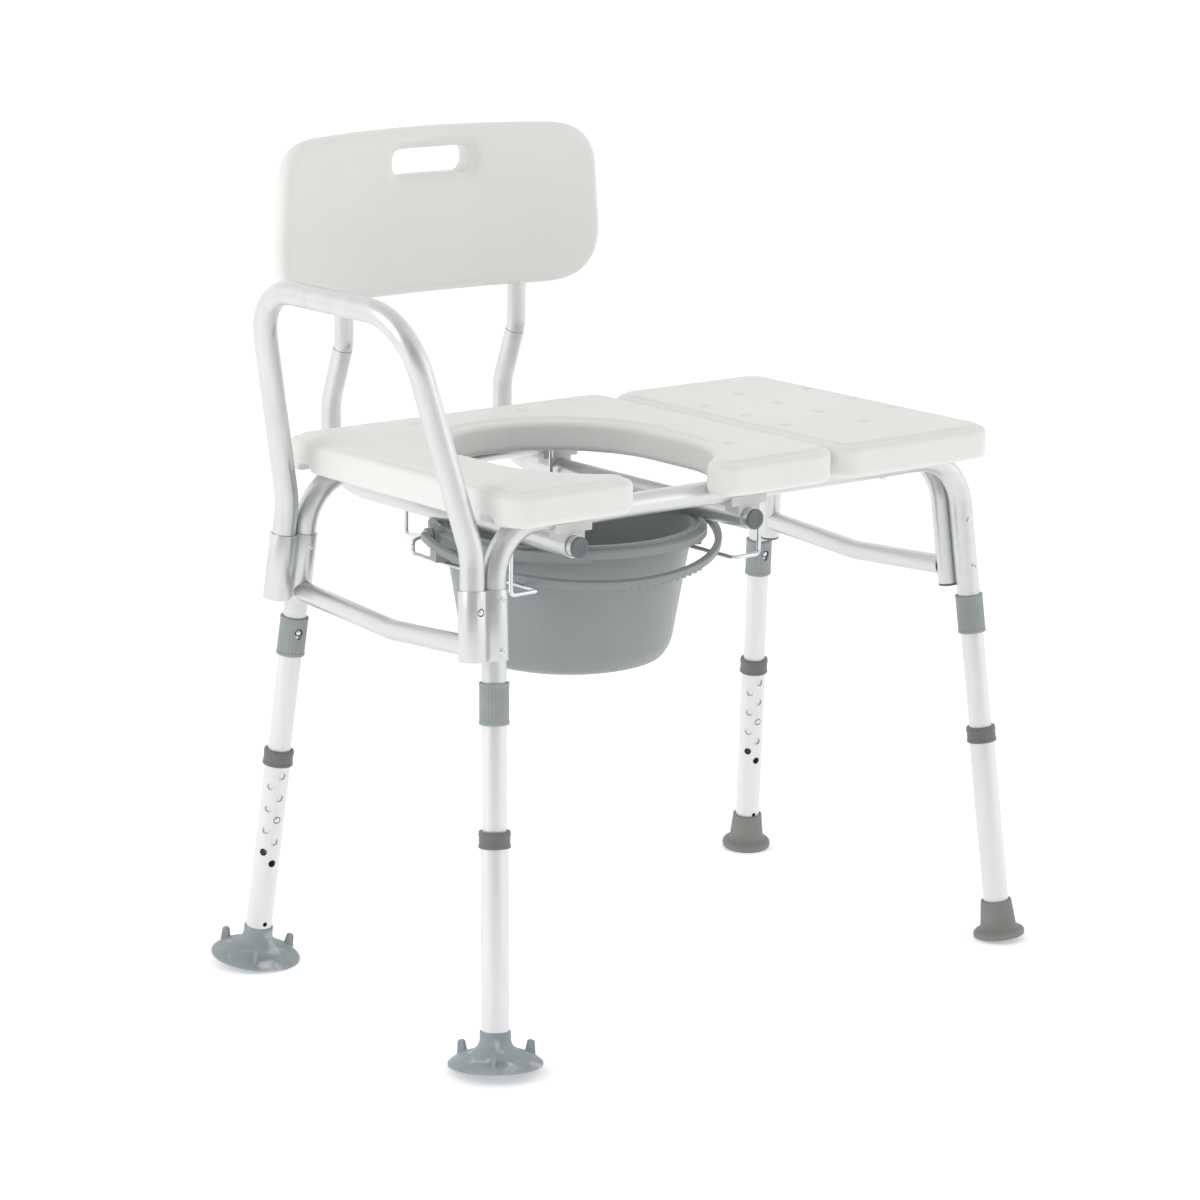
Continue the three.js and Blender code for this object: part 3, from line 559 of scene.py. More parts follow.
def grip_ring(leg, matrix):
    over_leg, over_extension = LEG_TUBE[0] + GAP, EXTENSION_TUBE[0] + GAP
    step = EXTENSION_TOP + GAP
    profile = rounded(
        [(over_extension, RING_BOTTOM), (16.7, RING_BOTTOM), (16.7, RING_BOTTOM + 3),
         (16.1, RING_BOTTOM + 3.8), (16.1, RING_TOP - 5.6), (16.7, RING_TOP - 4.8),
         (16.2, RING_TOP), (over_leg, RING_TOP), (over_leg, step), (over_extension, step)],
        0.7,
    )
    obj = build(f"visual_grip_ring_{leg}", [lathe(profile, 64)], matrix)
    place(obj, f"extension_{leg}", [f"grip_ring_{leg}"], RING, "ring_plastic")


def suction_foot(leg, base, matrix):
    bore = EXTENSION_TUBE[0] + GAP
    profile = rounded(
        [(0, base + 5), (20, base + 4.5), (46, base + 0.6), (47.5, base), (SUCTION_RADIUS, base),
         (SUCTION_RADIUS, base + 2.8), (43, base + 8), (35, base + 11.5), (26, base + 14.5),
         (19, base + 18.5), (16, base + 25), (16, base + 35.4), (bore, base + 35.4),
         (bore, base + 9.5), (0, base + 9.5)],
        [0, 8, 1, 0.6, 0.9, 1.2, 4, 5, 5, 5, 5, 0.8, 0.3, 0.3, 0],
    )
    obj = build(f"visual_suction_foot_{leg}", [lathe(profile, 72)], matrix)
    for i in range(3):
        side = rounded([(34, 5), (45.6, 3.5), (44.6, 21.5), (38.4, 22)], [1, 1, 2.6, 2.6])
        tab = prism([(p[0], p[1]) for p in side], -2.1, 2.1)
        stand = Matrix.Rotation(2 * math.pi * i / 3, 4, "Z") @ Matrix.Translation((0, 0, base))
        tool = build("tool", [tab], matrix @ stand @ Matrix.Rotation(math.pi / 2, 4, "X"))
        carve(obj, tool, "UNION")
    place(obj, f"extension_{leg}", [f"suction_foot_{leg}"], FOOT, "foot_rubber", 42)


def rubber_tip(leg, base, matrix):
    bore = EXTENSION_TUBE[0] + GAP
    profile = rounded(
        [(0, base), (TIP_RADIUS, base), (TIP_RADIUS, base + 5), (26.5, base + 7.3), (21.5, base + 8.6),
         (20.4, base + 11), (17.3, base + 41.4), (bore, base + 41.4), (bore, base + 9.5), (0, base + 9.5)],
        [0, 0.9, 1.4, 1.4, 2, 2, 1, 0.4, 0.4, 0],
    )
    obj = build(f"visual_rubber_tip_{leg}", [lathe(profile, 64)], matrix)
    place(obj, f"extension_{leg}", [f"rubber_tip_{leg}"], TIP, "tip_rubber")


def make_leg(leg):
    suction = LEGS[leg][0] < 0
    base = (SUCTION_RADIUS if suction else TIP_RADIUS) * math.sin(LEG_TILT) * LEG_SLOPE
    matrix = leg_frame(leg, button_side(leg))
    leg_tube(leg, matrix)
    collar(leg, matrix)
    extension_tube(leg, base, matrix)
    grip_ring(leg, matrix)
    foot_frame = matrix @ Matrix.Rotation(math.radians(-LEGS[leg][1] * 28), 4, "Z")
    (suction_foot if suction else rubber_tip)(leg, base, foot_frame)
    for word, at, head_from, head_to, leaf_at in (
        ("collar_button", COLLAR_BUTTON_AT, 8, 15, 8.4),
        ("height_button", HEIGHT_BUTTON_AT, 9.5, 15.6, 10),
    ):
        obj = build(f"visual_{word}_{leg}", button(at, head_from, head_to, leaf_at), matrix)
        place(obj, f"{word}_{leg}", [f"{word}_{leg}"], STEEL, "steel")


for leg_name in LEGS:
    make_leg(leg_name)

# ---------------------------------------------------------------- frame tubes


def seat_rail(name, left, right):
    corners = [on_leg(left, STUB_END), leg_at_height(left, RAIL_Z), leg_at_height(right, RAIL_Z),
               on_leg(right, STUB_END)]
    obj = build(f"visual_{name}", [tube(corners, [RAIL_BEND, RAIL_BEND], FRAME_TUBE)])
    tools = []
    for leg in (left, right):
        at = on_leg(leg, COLLAR_BUTTON_AT)
        tools.append(bar(at + button_side(leg) * 5, at + button_side(leg) * 20, BUTTON_RADIUS + 0.7))
    carve(obj, build("tool", tools))
    place(obj, "frame", [name], ALUMINIUM["x"], "aluminium")


def hoop_point(side, height):
    rise = height - HOOP_BOTTOM
    return Vector((HOOP_X - LEAN_X * rise, side * (HOOP_Y - LEAN_Y * rise), height))


def end_plug(name, body, size, matrix, cap=2.4):
    radius = size[0] - 0.1
    stem = size[0] - size[1] - 1.1
    profile = rounded(
        [(0, 0.5), (radius * 0.55, 0.5), (radius * 0.62, 0), (radius, 0), (radius, cap), (stem, cap),
         (stem, cap + 9), (0, cap + 9)],
        [0, 0.4, 0.4, 0.7, 0.2, 0, 0.4, 0],
    )
    obj = build(f"visual_{name}", [lathe(profile)], matrix)
    place(obj, body, [name], PLUG, "plug_plastic")


seat_rail("front_rail", "arm_front", "transfer_front")
seat_rail("rear_rail", "arm_rear", "transfer_rear")

hoop_corners = [hoop_point(-1, HOOP_BOTTOM), hoop_point(-1, HOOP_TOP), hoop_point(1, HOOP_TOP),
                hoop_point(1, HOOP_BOTTOM)]
place(build("visual_transfer_hoop", [tube(hoop_corners, [HOOP_BEND, HOOP_BEND], BRACE_TUBE)]), "frame",
      ["transfer_hoop"], ALUMINIUM["z"], "aluminium")
for word, side in (("front", -1), ("rear", 1)):
    up = Vector((-LEAN_X, -side * LEAN_Y, 1)).normalized()
    at = hoop_point(side, HOOP_BOTTOM) - up * (2.4 + GAP)
    turn = Vector((0, 0, 1)).rotation_difference(up).to_matrix().to_4x4()
    end_plug(f"hoop_plug_{word}", "frame", BRACE_TUBE, Matrix.Translation(at) @ turn)


def cross_brace(name, x, end_y, end_z, drop, tools):
    corners = [(x, -end_y, end_z), (x, 0, end_z - drop), (x, end_y, end_z)]
    obj = build(f"visual_{name}", [tube(corners, [160], BRACE_TUBE)])
    carve(obj, build("tool", tools))
    place(obj, "frame", [name], ALUMINIUM["y"], "aluminium")


arm_legs = [leg for leg in LEGS if LEGS[leg][0] < 0]
cross_brace("cross_brace_arm_end", leg_at_height("arm_front", 427.5).x - 0.5, 168, 427.5, 11,
            [bar(on_leg(leg, 400), on_leg(leg, 460), BRACKET_RADIUS + GAP, FINE) for leg in arm_legs])
hoop_ends = [bar(hoop_point(side, 400), hoop_point(side, 450), BRACE_TUBE[0] + GAP, FINE) for side in (-1, 1)]
cross_brace("cross_brace_transfer_end", hoop_point(1, 425.8).x, 142, 425.8, 9, hoop_ends)


def head_frame(at, direction):
    turn = Vector((0, 0, 1)).rotation_difference(Vector(direction)).to_matrix().to_4x4()
    return Matrix.Translation(Vector(at)) @ turn


def screw(name, body, at, direction, radius=3.6, height=1.7):
    """A pan head screw with a cross recess."""
    corners = [(0, -1), (radius, -1), (radius, height * 0.5), (radius * 0.55, height), (0, height)]
    profile = rounded(corners, [0, 0.1, 0.9, 0.9, 0])
    matrix = head_frame(at, direction)
    obj = build(name, [lathe(profile, 32)], matrix)
    reach, half_slit = radius * 0.55, 0.45
    for angle in (0.4, 0.4 + math.pi / 2):
        slit = block(-reach, reach, -half_slit, half_slit, height * 0.35, 4)
        carve(obj, build("tool", [moved(slit, Matrix.Rotation(angle, 4, "Z"))], matrix))
    place(obj, body, [], STEEL, "steel")


def rivet(name, body, at, direction):
    """A low, plain rivet head."""
    profile = rounded([(0, -1), (4.6, -1), (4.6, 0.7), (3.6, 1.2), (0, 1.3)], [0, 0.1, 0.5, 0.8, 0])
    obj = build(name, [lathe(profile, 32)], head_frame(at, direction))
    place(obj, body, [], ALUMINIUM["x"], "aluminium")


def bracket(leg, word):
    """The double ring bracket with its flared joint line between the rings."""
    side_x, side_y = LEGS[leg]
    matrix = leg_frame(leg, (1, 0, 0)) @ Matrix.Translation((-BRACKET_SPACING, 0, 0))
    meet = math.acos(BRACKET_SPACING / 2 / BRACKET_RADIUS)
    outline = arc(0, 0, BRACKET_RADIUS, meet, 2 * math.pi - meet, 40)
    outline += arc(BRACKET_SPACING, 0, BRACKET_RADIUS, math.pi + meet, 3 * math.pi - meet, 40)
    obj = build(f"visual_arm_bracket_{word}", [prism(outline[:-1], BRACKET_BOTTOM, BRACKET_TOP)], matrix)
    bores = [moved(lathe([(0, 400), (FRAME_TUBE[0] + GAP, 400), (FRAME_TUBE[0] + GAP, 520), (0, 520)]),
                   Matrix.Translation((x, 0, 0))) for x in (0, BRACKET_SPACING)]
    for bore in bores:
        carve(obj, build("tool", [bore], matrix))
    hole = radial(ARM_BUTTON_AT, HOLE_RADIUS, 5, 20, -math.pi / 2 * side_x * side_y)
    carve(obj, build("tool", [hole], matrix))
    bevel = obj.modifiers.new("edges", "BEVEL")
    bevel.width = 0.0004
    bevel.segments = 2
    bevel.limit_method = "ANGLE"
    bevel.angle_limit = math.radians(50)
    bake(obj)
    place(obj, "frame", [f"arm_bracket_{word}"], ALUMINIUM["z"], "aluminium")


for leg, word in (("arm_front", "front"), ("arm_rear", "rear")):
    bracket(leg, word)
    drops = (10, 62) if word == "front" else (12, 61)
    for index, drop in enumerate(drops):
        outward = square_to_leg(leg, (0, -1, 0))
        at = on_leg(leg, BRACKET_TOP - drop) + outward * (BRACKET_RADIUS - 0.2)
        screw(f"bracket_screw_{word}_{index + 1}", "frame", at, outward)

# The front rail's stub is riveted and screwed to the transfer end hoop.
outward = square_to_leg("transfer_front", (0, -1, 0))
screw("hoop_screw", "frame", leg_at_height("transfer_front", 430) + outward * (FRAME_TUBE[0] - 0.2), outward)
rivet("hoop_rivet", "frame", leg_at_height("transfer_front", 481) + outward * (FRAME_TUBE[0] - 0.2), outward)
screw("seat_screw", "frame", (212, -RAIL_Y, RAIL_Z - FRAME_TUBE[0] + 0.2), (0, 0, -1), 4.4, 2.6)

# ---------------------------------------------------------------- seat


def opening_outline():
    left, right, front, back = -333, 108, SEAT_FRONT, 206
    corner, quarter = SEAT_CORNER, math.pi / 2
    across = CHANNEL_HALF + LOBE_ROUND
    down = math.sqrt((OPENING_RADIUS + LOBE_ROUND) ** 2 - across**2)
    neck = math.atan2(down, across)
    neck_y = -OPENING_STRAIGHT - down
    points = arc(SEAT_MIDDLE - across, front + LOBE_ROUND, LOBE_ROUND, -quarter, 0)
    points += arc(SEAT_MIDDLE - across, neck_y, LOBE_ROUND, 0, neck)
    points += arc(SEAT_MIDDLE, -OPENING_STRAIGHT, OPENING_RADIUS, math.pi + neck, math.pi)
    points += arc(SEAT_MIDDLE, 0, OPENING_RADIUS, math.pi, 0, 48)
    points += arc(SEAT_MIDDLE, -OPENING_STRAIGHT, OPENING_RADIUS, 0, -neck)
    points += arc(SEAT_MIDDLE + across, neck_y, LOBE_ROUND, math.pi - neck, math.pi)
    points += arc(SEAT_MIDDLE + across, front + LOBE_ROUND, LOBE_ROUND, math.pi, 3 * quarter)
    points += arc(right - corner, front + corner, corner, -quarter, 0)
    points += arc(right - corner, back - corner, corner, 0, quarter)
    points += arc(left + corner, back - corner, corner, quarter, 2 * quarter)
    points += arc(left + corner, front + corner, corner, 2 * quarter, 3 * quarter)
    return points


def transfer_outline():
    left, right, front, back = 112, 340, SEAT_FRONT, 197
    corner, quarter = SEAT_CORNER, math.pi / 2
    return (
        arc(right - corner, front + corner, corner, -quarter, 0)
        + arc(right - corner, back - corner, corner, 0, quarter)
        + arc(left + corner, back - corner, corner, quarter, 2 * quarter)
        + arc(left + corner, front + corner, corner, 2 * quarter, 3 * quarter)
    )


def distinct(points):
    kept = []
    for point in points:
        if not kept or (Vector(point) - Vector(kept[-1])).length > 0.05:
            kept.append(point)
    return kept if (Vector(kept[0]) - Vector(kept[-1])).length > 0.05 else kept[:-1]


def inset(points, distance):
    """The outline moved inwards; points run anticlockwise."""
    result = []
    count = len(points)
    for i, point in enumerate(points):
        here = Vector(point)
        before = (here - Vector(points[i - 1])).normalized()
        after = (Vector(points[(i + 1) % count]) - here).normalized()
        along = (before + after).normalized()
        stretch = 1 / max(0.5, along.dot(after))
        result.append(here + Vector((-along.y, along.x)) * distance * stretch)
    return result


def layered(outline, layers):
    """A slab whose outline shrinks by an inset at each height; layers are (inset, height) from the bottom."""
    verts, rows = [], []
    for distance, height in layers:
        ring = inset(outline, distance)
        rows.append([len(verts) + i for i in range(len(ring))])
        verts += [(p.x, p.y, height) for p in ring]
    faces = [rows[0], rows[-1]]
    for low, high in zip(rows, rows[1:]):
        count = len(low)
        faces += [[low[i], low[(i + 1) % count], high[(i + 1) % count], high[i]] for i in range(count)]
    return verts, faces


def edge_layers(bottom, top, radius, steps=6):
    quarter = math.pi / 2
    low = [
        (radius * (1 - math.sin(quarter * k / steps)), bottom + radius * (1 - math.cos(quarter * k / steps)))
        for k in range(steps + 1)
    ]
    high = [(radius * (1 - math.cos(quarter * k / steps)), top - radius * (1 - math.sin(quarter * k / steps)))
            for k in range(steps + 1)]
    return low + high


def blow_mould(obj, voxel, smoothing=3):
    """Melts the joined shapes together, as a blow moulding's skin does."""
    remesh = obj.modifiers.new("skin", "REMESH")
    remesh.mode = "VOXEL"
    remesh.voxel_size = voxel * MM
    smooth = obj.modifiers.new("even", "SMOOTH")
    smooth.factor = 0.5
    smooth.iterations = smoothing
    bake(obj)


def dimple(x, y, radius=8.5, depth=3):
    """A shallow round bowl in the seat's top; the tool is a flattened ball."""
    curve = (radius**2 + depth**2) / (2 * depth)
    profile = [(0, -depth)]
    for k in range(1, 9):
        reach = radius * 1.25 * k / 8
        profile.append((reach, math.sqrt(max(0, curve**2 - reach**2)) * -1 + curve - depth))
    profile += [(radius * 1.25, 8), (0, 8)]
    return moved(lathe(profile, 32), Matrix.Translation((x, y, SEAT_TOP)))


def seat_panel(name, outline, dimples):
    outline = distinct(outline)
    body_top = SEAT_TOP - PLATEAU_RISE
    obj = build(f"visual_{name}", [layered(outline, edge_layers(SEAT_BOTTOM, body_top, 6.5))])
    plateau = [(PLATEAU_INSET - 1.5, SEAT_TOP - 12), (PLATEAU_INSET - 1.5, body_top - 0.3),
               (PLATEAU_INSET, SEAT_TOP - 0.8), (PLATEAU_INSET + 1.4, SEAT_TOP)]
    carve(obj, build("tool", [layered(outline, plateau)]), "UNION")
    tools = [dimple(x, y) for x, y in dimples]
    tools += [bar((-400, y, RAIL_Z), (400, y, RAIL_Z), FRAME_TUBE[0] + GAP, FINE) for y in (-RAIL_Y, RAIL_Y)]
    for tool in tools:
        carve(obj, build("tool", [tool]))
    blow_mould(obj, 1.6, 2)
    place(obj, "frame", [name], PANEL, "panel_plastic", 60)


seat_panel(
    "seat_panel_opening", opening_outline(),
    [(24, 0), (24, -120), (-246, 0), (-246, -120), (-38, 162), (-184, 162)],
)
seat_panel(
    "seat_panel_transfer", transfer_outline(),
    [(145, 62), (145, -8), (145, -76), (229, 99), (229, 33), (229, -38), (229, -109), (316, 79), (316, 4),
     (316, -63)],
)

# ---------------------------------------------------------------- backrest


def panel_outline():
    """The backrest's outline in x and z, anticlockwise seen from the back's +Y side turned over."""
    low, high = PANEL_HALF_BOTTOM, PANEL_HALF_TOP
    bottom, shoulder, crown = PANEL_BOTTOM, PANEL_SHOULDER, PANEL_CROWN

    def curve(start, control, end, steps=14):
        points = []
        for k in range(steps + 1):
            t = k / steps
            ends = Vector(start) * (1 - t) ** 2 + Vector(end) * t * t
            points.append(ends + Vector(control) * 2 * t * (1 - t))
        return points

    right = curve((low - 60, bottom), (low, bottom + 2), (low, bottom + 62))
    right += curve((high + 2, shoulder - 52), (high, shoulder - 2), (high - 52, shoulder))
    top = curve((high - 52, shoulder), (0, 2 * crown - shoulder), (-high + 52, shoulder), 30)
    left = [Vector((-p.x, p.y)) for p in reversed(right)]
    base = curve((-low + 60, bottom), (0, bottom), (low - 60, bottom), 24)
    return distinct(right + top + left + base)


def rounded_slot(half, bottom, top, radius):
    return rounded([(-half, bottom), (half, bottom), (half, top), (-half, top)], radius, 8)


def backrest_panel():
    """Made flat, with x and z in the panel and y through it, and bowed at the end."""
    half = PANEL_THICK / 2
    stand = Matrix.Rotation(math.pi / 2, 4, "X")
    obj = build("visual_backrest_panel", [layered(panel_outline(), edge_layers(-half, half, 12, 8))], stand)
    grip = layered(rounded_slot(SLOT_HALF + 9, SLOT_BOTTOM - 7.5, SLOT_TOP + 7, 20),
                   [(9, half - 5), (6, half - 4.2), (1.5, half - 1), (0, half + 0.5), (0, half + 6)])
    carve(obj, build("tool", [grip], stand))
    through = prism(rounded_slot(SLOT_HALF - 2, SLOT_BOTTOM + 1, SLOT_TOP - 1, 13), -30, 30)
    carve(obj, build("tool", [through], stand))
    blow_mould(obj, 1.8)
    middle = ORIGIN + Vector((PANEL_X, PANEL_Y, 0)) * MM
    bow = PANEL_BOW * MM
    for vertex in obj.data.vertices:
        local = vertex.co - ORIGIN
        reach = bow + local.y
        vertex.co.x = middle.x + local.x
        vertex.co.y = middle.y - bow + math.sqrt(reach**2 - local.x**2)
    obj.data.update()
    for side in (-1, 1):
        x = BACK_MIDDLE + side * BACK_TUBE_SPACING
        bore = bar((x, UPPER[0], 700), (x, UPPER[0], UPPER_TOP + 3), UPPER_TUBE[0] + GAP, FINE)
        carve(obj, build("tool", [bore]))
    place(obj, "backrest", ["backrest_panel"], PANEL, "panel_plastic", 60)


backrest_panel()


def make_back_tubes(word, x):
    seam = Vector((x, *SEAM))
    upper = Vector((x, *UPPER))
    kink = Vector((x, BACK_REAR_Y, BACK_KINK_Z))
    lower_corners = [(x, BACK_FRONT_Y, SLEEVE_Z), (x, BACK_REAR_Y, SLEEVE_Z), kink, seam]
    obj = build(f"visual_back_tube_lower_{word}", [tube(lower_corners, [54, 60], BACK_TUBE)])
    place(obj, "backrest", [f"back_tube_lower_{word}"], ALUMINIUM["z"], "aluminium")
    upwards = (upper - seam).normalized()
    start = seam + upwards * GAP
    upper_tube = tube([start, upper, (x, UPPER[0], UPPER_TOP)], [25], UPPER_TUBE)
    downwards = (kink - seam).normalized()
    spigot = bar(start + upwards * 3, seam + downwards * 16, BACK_TUBE[0] - BACK_TUBE[1] - 0.4, FINE)
    obj = build(f"visual_back_tube_upper_{word}", [upper_tube])
    carve(obj, build("tool", [spigot]), "UNION")
    place(obj, "backrest", [f"back_tube_upper_{word}"], ALUMINIUM["z"], "aluminium")
    sleeve_tube = tube([(x, SLEEVE_FRONT_Y, SLEEVE_Z), (x, SLEEVE_REAR_Y, SLEEVE_Z)], [], SLEEVE_TUBE)
    sleeve = build(f"visual_back_sleeve_{word}", [sleeve_tube])
    place(sleeve, "frame", [f"back_sleeve_{word}"], ALUMINIUM["y"], "aluminium")
    at = Vector((x, BACK_FRONT_Y - 2.4 - GAP, SLEEVE_Z))
    end_plug(f"back_tube_plug_{word}", "backrest", BACK_TUBE,
             Matrix.Translation(at) @ Matrix.Rotation(-math.pi / 2, 4, "X"))


def cradle_wire(word, side):
    def at(dx, y, z):
        return (BACK_MIDDLE + side * dx, y, z)

    corners = [
        at(169, -132, SEAT_BOTTOM - GAP), at(169, -132, WIRE_Z),
        at(133.5, -132, WIRE_Z), at(133.5, 86, WIRE_Z),
        at(133.5, 86, WIRE_Z + 14), at(109, 98, WIRE_Z + 14),
        at(100, 143.5, WIRE_Z + 6), at(100, 143.5, SEAT_BOTTOM - GAP),
    ]
    obj = build(f"visual_cradle_wire_{word}", [rod(corners, [5, 5, 5, 5, 5, 6], WIRE_RADIUS)])
    place(obj, "frame", [f"cradle_wire_{word}"], STEEL, "steel")


for word, side in (("left", -1), ("right", 1)):
    make_back_tubes(word, BACK_MIDDLE + side * BACK_TUBE_SPACING)
    cradle_wire(word, side)

for place_word in ("front", "rear"):
    for word in ("left", "right"):
        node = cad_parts[f"saddle_{place_word}_{word}"]
        node.data.materials.clear()
        node.data.materials.append(SADDLE)
        bevel = node.modifiers.new("edges", "BEVEL")
        bevel.width = 0.0008
        bevel.segments = 3
        bevel.limit_method = "ANGLE"
        bevel.angle_limit = math.radians(40)

# ---------------------------------------------------------------- pail


def pail_frame():
    return Matrix.Translation((PAIL_X, PAIL_Y, 0)) @ Matrix.Rotation(PAIL_TURN, 4, "Z")


def ear_plate(low, high, near, far, round_top):
    """A plate that faces along X, with its two upper corners rounded."""
    corners = [(-EAR_HALF, low), (EAR_HALF, low), (EAR_HALF, high), (-EAR_HALF, high)]
    outline = [(p[0], p[1]) for p in rounded(corners, [1, 1, round_top, round_top], 6)]
    upright = Matrix(((0, 0, 1, 0), (1, 0, 0, 0), (0, 1, 0, 0), (0, 0, 0, 1)))
    return moved(prism(outline, near, far), upright)


def pail():
    matrix = pail_frame()
    profile = rounded(
        [(0, 361.5), (86, 361.5), (89, 360.5), (92, 360.5), (105, 364.5), (113.5, 379), (133.5, 498),
         (146.5, 498), (147, 497.5), (150, 497.5), (150, 506), (141.5, 507), (141.5, 510.5),
         (134.5, 510.5), (131.5, 505), (111.5, 378.5), (103.5, 366.5), (92, 363.2), (0, 363.2)],
        [0, 1, 1, 2, 6, 8, 1.5, 0.4, 0.4, 0.8, 1.6, 0.8, 1.6, 1.6, 2.5, 8, 6, 4, 0],
    )
    obj = build("visual_pail", [lathe(profile, 144)], matrix)
    for side in (-1, 1):
        turn = matrix @ Matrix.Rotation(math.pi if side < 0 else 0, 4, "Z")
        carve(obj, build("tool", [ear_plate(473.8, 500, 130.8, 152, 2)], turn), "UNION")
        carve(obj, build("tool", [ear_plate(488, 510.2, 141, 153, 5)], turn), "UNION")
        carve(obj, build("tool", [block(137.5, 149.5, -7.5, 7.5, 470, 492)], turn))
        carve(obj, build("tool", [bar((152, 0, PIVOT_Z), (157, 0, PIVOT_Z), 3.2)], turn), "UNION")
    skirt = arc(0, 0, 150, *SKIRT_SPAN, 40) + list(reversed(arc(0, 0, 146.6, *SKIRT_SPAN, 40)))
    carve(obj, build("tool", [prism(skirt, 494.6, 499)], matrix), "UNION")
    place(obj, "pail", ["pail"], PAIL, "pail_plastic")


def pail_handle():
    """A half hoop of rounded flat section with finger ridges under the grip."""
    half = 4.2
    matrix = pail_frame() @ Matrix.Translation((0, 0, PIVOT_Z)) @ Matrix.Rotation(HANDLE_DROP, 4, "X")
    near, far = HANDLE_RADIUS - half + 1, HANDLE_RADIUS + half
    section = rounded([(near, -half), (far, -half), (far, half), (near, half)], 1.6, 4)
    steps = 96
    verts, faces = [], []
    for k in range(steps + 1):
        angle = math.pi + math.pi * k / steps
        for p in section:
            verts.append((p.x * math.cos(angle), p.x * math.sin(angle), p.y))
    count = len(section)
    for k in range(steps):
        for i in range(count):
            j = (i + 1) % count
            faces.append([k * count + i, k * count + j, (k + 1) * count + j, (k + 1) * count + i])
    faces += [list(range(count)), list(range(steps * count, (steps + 1) * count))]
    obj = build("visual_pail_handle", [(verts, faces)], matrix)
    for side in (-1, 1):
        eye = lathe(rounded([(0, -3.7), (8, -3.7), (8, 3.7), (0, 3.7)], [0, 0.8, 0.8, 0]))
        turn = Matrix.Translation((side * (HANDLE_RADIUS - 4.5), 0, 0)) @ Matrix.Rotation(math.pi / 2, 4, "Y")
        carve(obj, build("tool", [moved(eye, turn)], matrix), "UNION")
    carve(obj, build("tool", [bar((-159.5, 0, 0), (159.5, 0, 0), 3.6)], matrix))
    for k in range(GRIP_RIDGES):
        angle = math.radians(1 + GRIP_STEP * k)
        ridge = block(-2.2, 2.2, 0.4 - far, half - 2 - HANDLE_RADIUS, -half - 1.3, 1 - half)
        carve(obj, build("tool", [ridge], matrix @ Matrix.Rotation(angle, 4, "Z")), "UNION")
    place(obj, "pail_handle", ["pail_handle"], PAIL, "pail_plastic")


pail()
pail_handle()

# ---------------------------------------------------------------- arm


def socket_shift(leg):
    return square_to_leg(leg, (1, 0, 0)) * -BRACKET_SPACING


def arm_tube():
    def corner(leg, height):
        return leg_at_height(leg, height) + socket_shift(leg)

    corners = [
        corner("arm_front", ARM_END), corner("arm_front", ARM_KINK_Z),
        (ARM_TOP[0], -ARM_TOP[1], ARM_TOP[2]), ARM_TOP,
        corner("arm_rear", ARM_KINK_Z), corner("arm_rear", ARM_END),
    ]
    obj = build("visual_arm_tube", [tube(corners, [90, 70, 70, 90], FRAME_TUBE)])
    tools = []
    for leg in arm_legs:
        at = on_leg(leg, ARM_BUTTON_AT) + socket_shift(leg)
        outward = square_to_leg(leg, (0, LEGS[leg][1], 0))
        tools.append(bar(at + outward * 5, at + outward * 20, BUTTON_RADIUS + 2 * GAP))
    carve(obj, build("tool", tools))
    place(obj, "arm", ["arm_tube"], ALUMINIUM["z"], "aluminium")


arm_tube()
for leg, word in (("arm_front", "front"), ("arm_rear", "rear")):
    socket = Matrix.Translation(socket_shift(leg)) @ leg_frame(leg, (0, LEGS[leg][1], 0))
    obj = build(f"visual_arm_button_{word}", button(ARM_BUTTON_AT, 8.4, 15.8, 8.8), socket)
    place(obj, f"arm_button_{word}", [f"arm_button_{word}"], STEEL, "steel")

# ---------------------------------------------------------------- camera, floor and light

camera_data = bpy.data.cameras.new("camera")
camera_data.lens = 113.94
camera_data.sensor_width = 36
camera_data.clip_end = 50
camera = bpy.data.objects.new("camera", camera_data)
bpy.context.scene.collection.objects.link(camera)
right = Vector((0.776879, -0.629509, 0.013325))
upward = Vector((0.134387, 0.186448, 0.973230))
forward = Vector((0.615141, 0.754292, -0.229445))
camera.matrix_world = Matrix((right, upward, -forward)).transposed().to_4x4()
camera.location = ORIGIN + Vector((-2602.56, -3125.90, 1360.65)) * MM
bpy.context.scene.camera = camera

FLOOR_REACH = 30  # metres from the middle to each edge
floor_corners = [(x * FLOOR_REACH, y * FLOOR_REACH, 0) for x, y in ((-1, -1), (1, -1), (1, 1), (-1, 1))]
floor_mesh = bpy.data.meshes.new("floor")
floor_mesh.from_pydata(floor_corners, [], [(0, 1, 2, 3)])
floor = link("floor", floor_mesh)
floor_paint = material("floor_paint", (0.93, 0.93, 0.93), 0.8, 0, 0.004, 2, (1, 1, 1), 0.02, 60)
floor.data.materials.append(floor_paint)
floor_shader = floor_paint.node_tree.nodes["Principled BSDF"]
floor_shader.inputs["Emission Color"].default_value = (1, 1, 1, 1)
floor_shader.inputs["Emission Strength"].default_value = 0.3


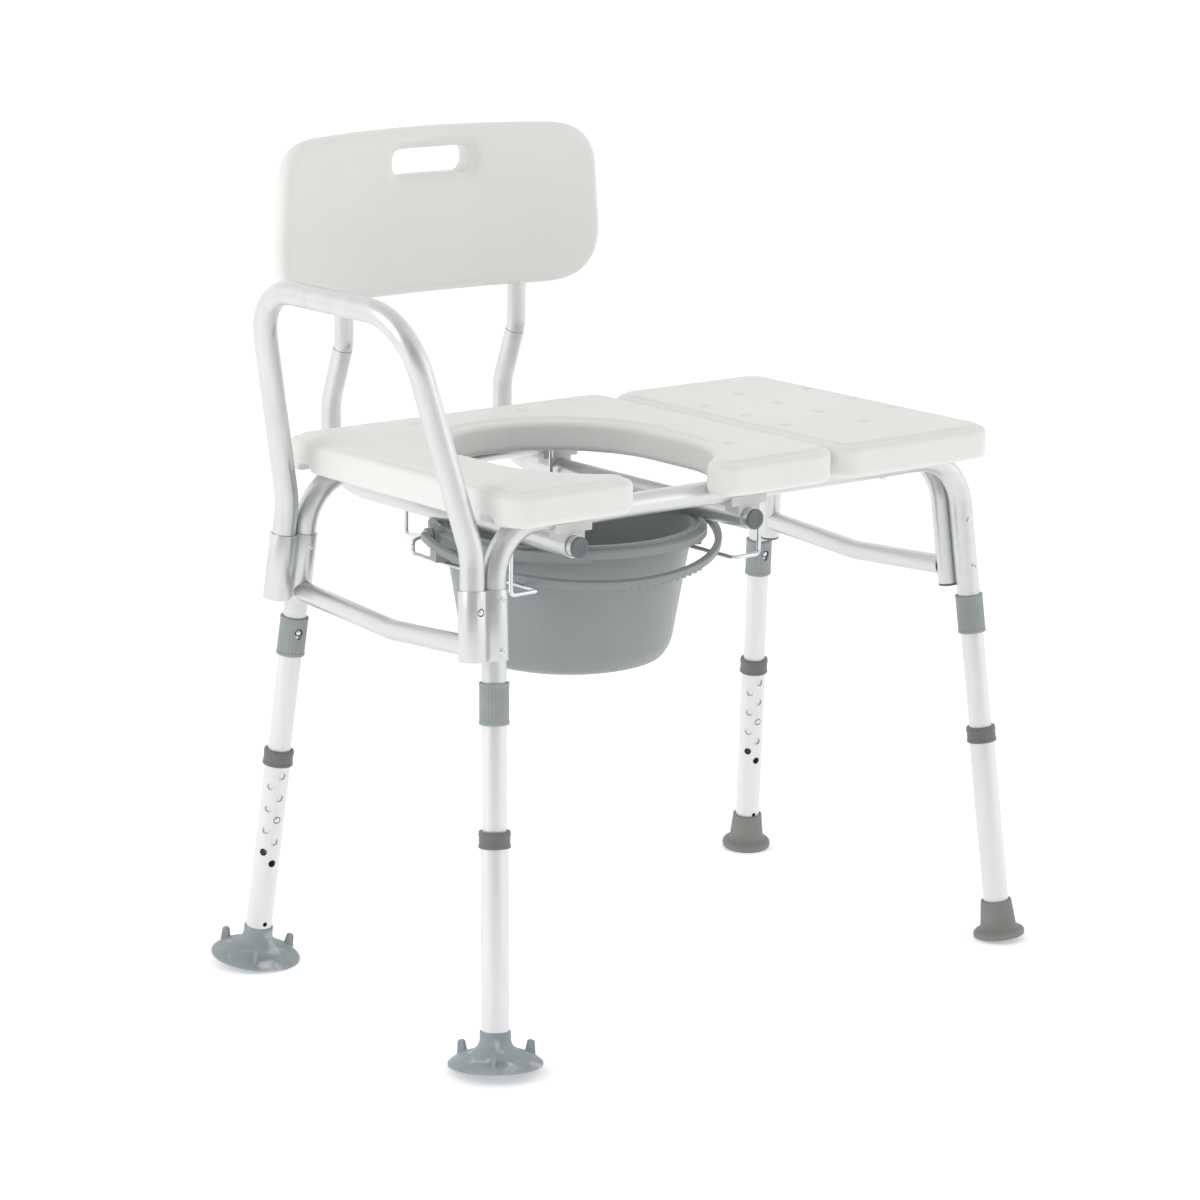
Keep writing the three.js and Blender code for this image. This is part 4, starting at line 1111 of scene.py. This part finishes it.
def studio(bright, dim, ceiling_share):
    """A white studio that is dimmer on the side that the object is looked at from."""
    world = bpy.data.worlds.new("studio")
    world.use_nodes = True
    nodes, links = world.node_tree.nodes, world.node_tree.links
    nodes["Background"].inputs["Color"].default_value = (1, 1, 1, 1)
    direction = nodes.new("ShaderNodeTexCoord")
    towards = nodes.new("ShaderNodeVectorMath")
    towards.operation = "DOT_PRODUCT"
    towards.inputs[1].default_value = (-0.62, -0.76, 0.12)
    overhead = nodes.new("ShaderNodeSeparateXYZ")
    ceiling = nodes.new("ShaderNodeMapRange")
    ceiling.inputs["From Min"].default_value = 0.3
    ceiling.inputs["To Min"].default_value = 1.0
    ceiling.inputs["To Max"].default_value = ceiling_share
    both = nodes.new("ShaderNodeMath")
    both.operation = "MULTIPLY"
    spread = nodes.new("ShaderNodeMapRange")
    spread.interpolation_type = "SMOOTHSTEP"
    spread.inputs["From Min"].default_value = 0.35
    spread.inputs["From Max"].default_value = 0.95
    spread.inputs["To Min"].default_value = bright
    spread.inputs["To Max"].default_value = dim
    links.new(direction.outputs["Generated"], towards.inputs[0])
    links.new(towards.outputs["Value"], spread.inputs["Value"])
    links.new(direction.outputs["Generated"], overhead.inputs[0])
    links.new(overhead.outputs["Z"], ceiling.inputs["Value"])
    links.new(spread.outputs["Result"], both.inputs[0])
    links.new(ceiling.outputs["Result"], both.inputs[1])
    links.new(both.outputs["Value"], nodes["Background"].inputs["Strength"])
    bpy.context.scene.world = world


def area_light(name, location, target, size, power):
    data = bpy.data.lights.new(name, "AREA")
    data.shape = "RECTANGLE"
    data.size, data.size_y = size
    data.energy = power
    light = bpy.data.objects.new(name, data)
    light.location = location
    light.rotation_euler = (Vector(target) - Vector(location)).to_track_quat("-Z", "Y").to_euler()
    bpy.context.scene.collection.objects.link(light)


MIDDLE = (0, 0, 0.5)
studio(1.18, 0.46, 0.66)
area_light("key", (-3.0, 0.4, 2.0), MIDDLE, (1.6, 1.6), 18)
area_light("side", (2.4, -2.4, 1.4), MIDDLE, (1.2, 1.6), 4)
bpy.context.scene.view_settings.view_transform = "Standard"
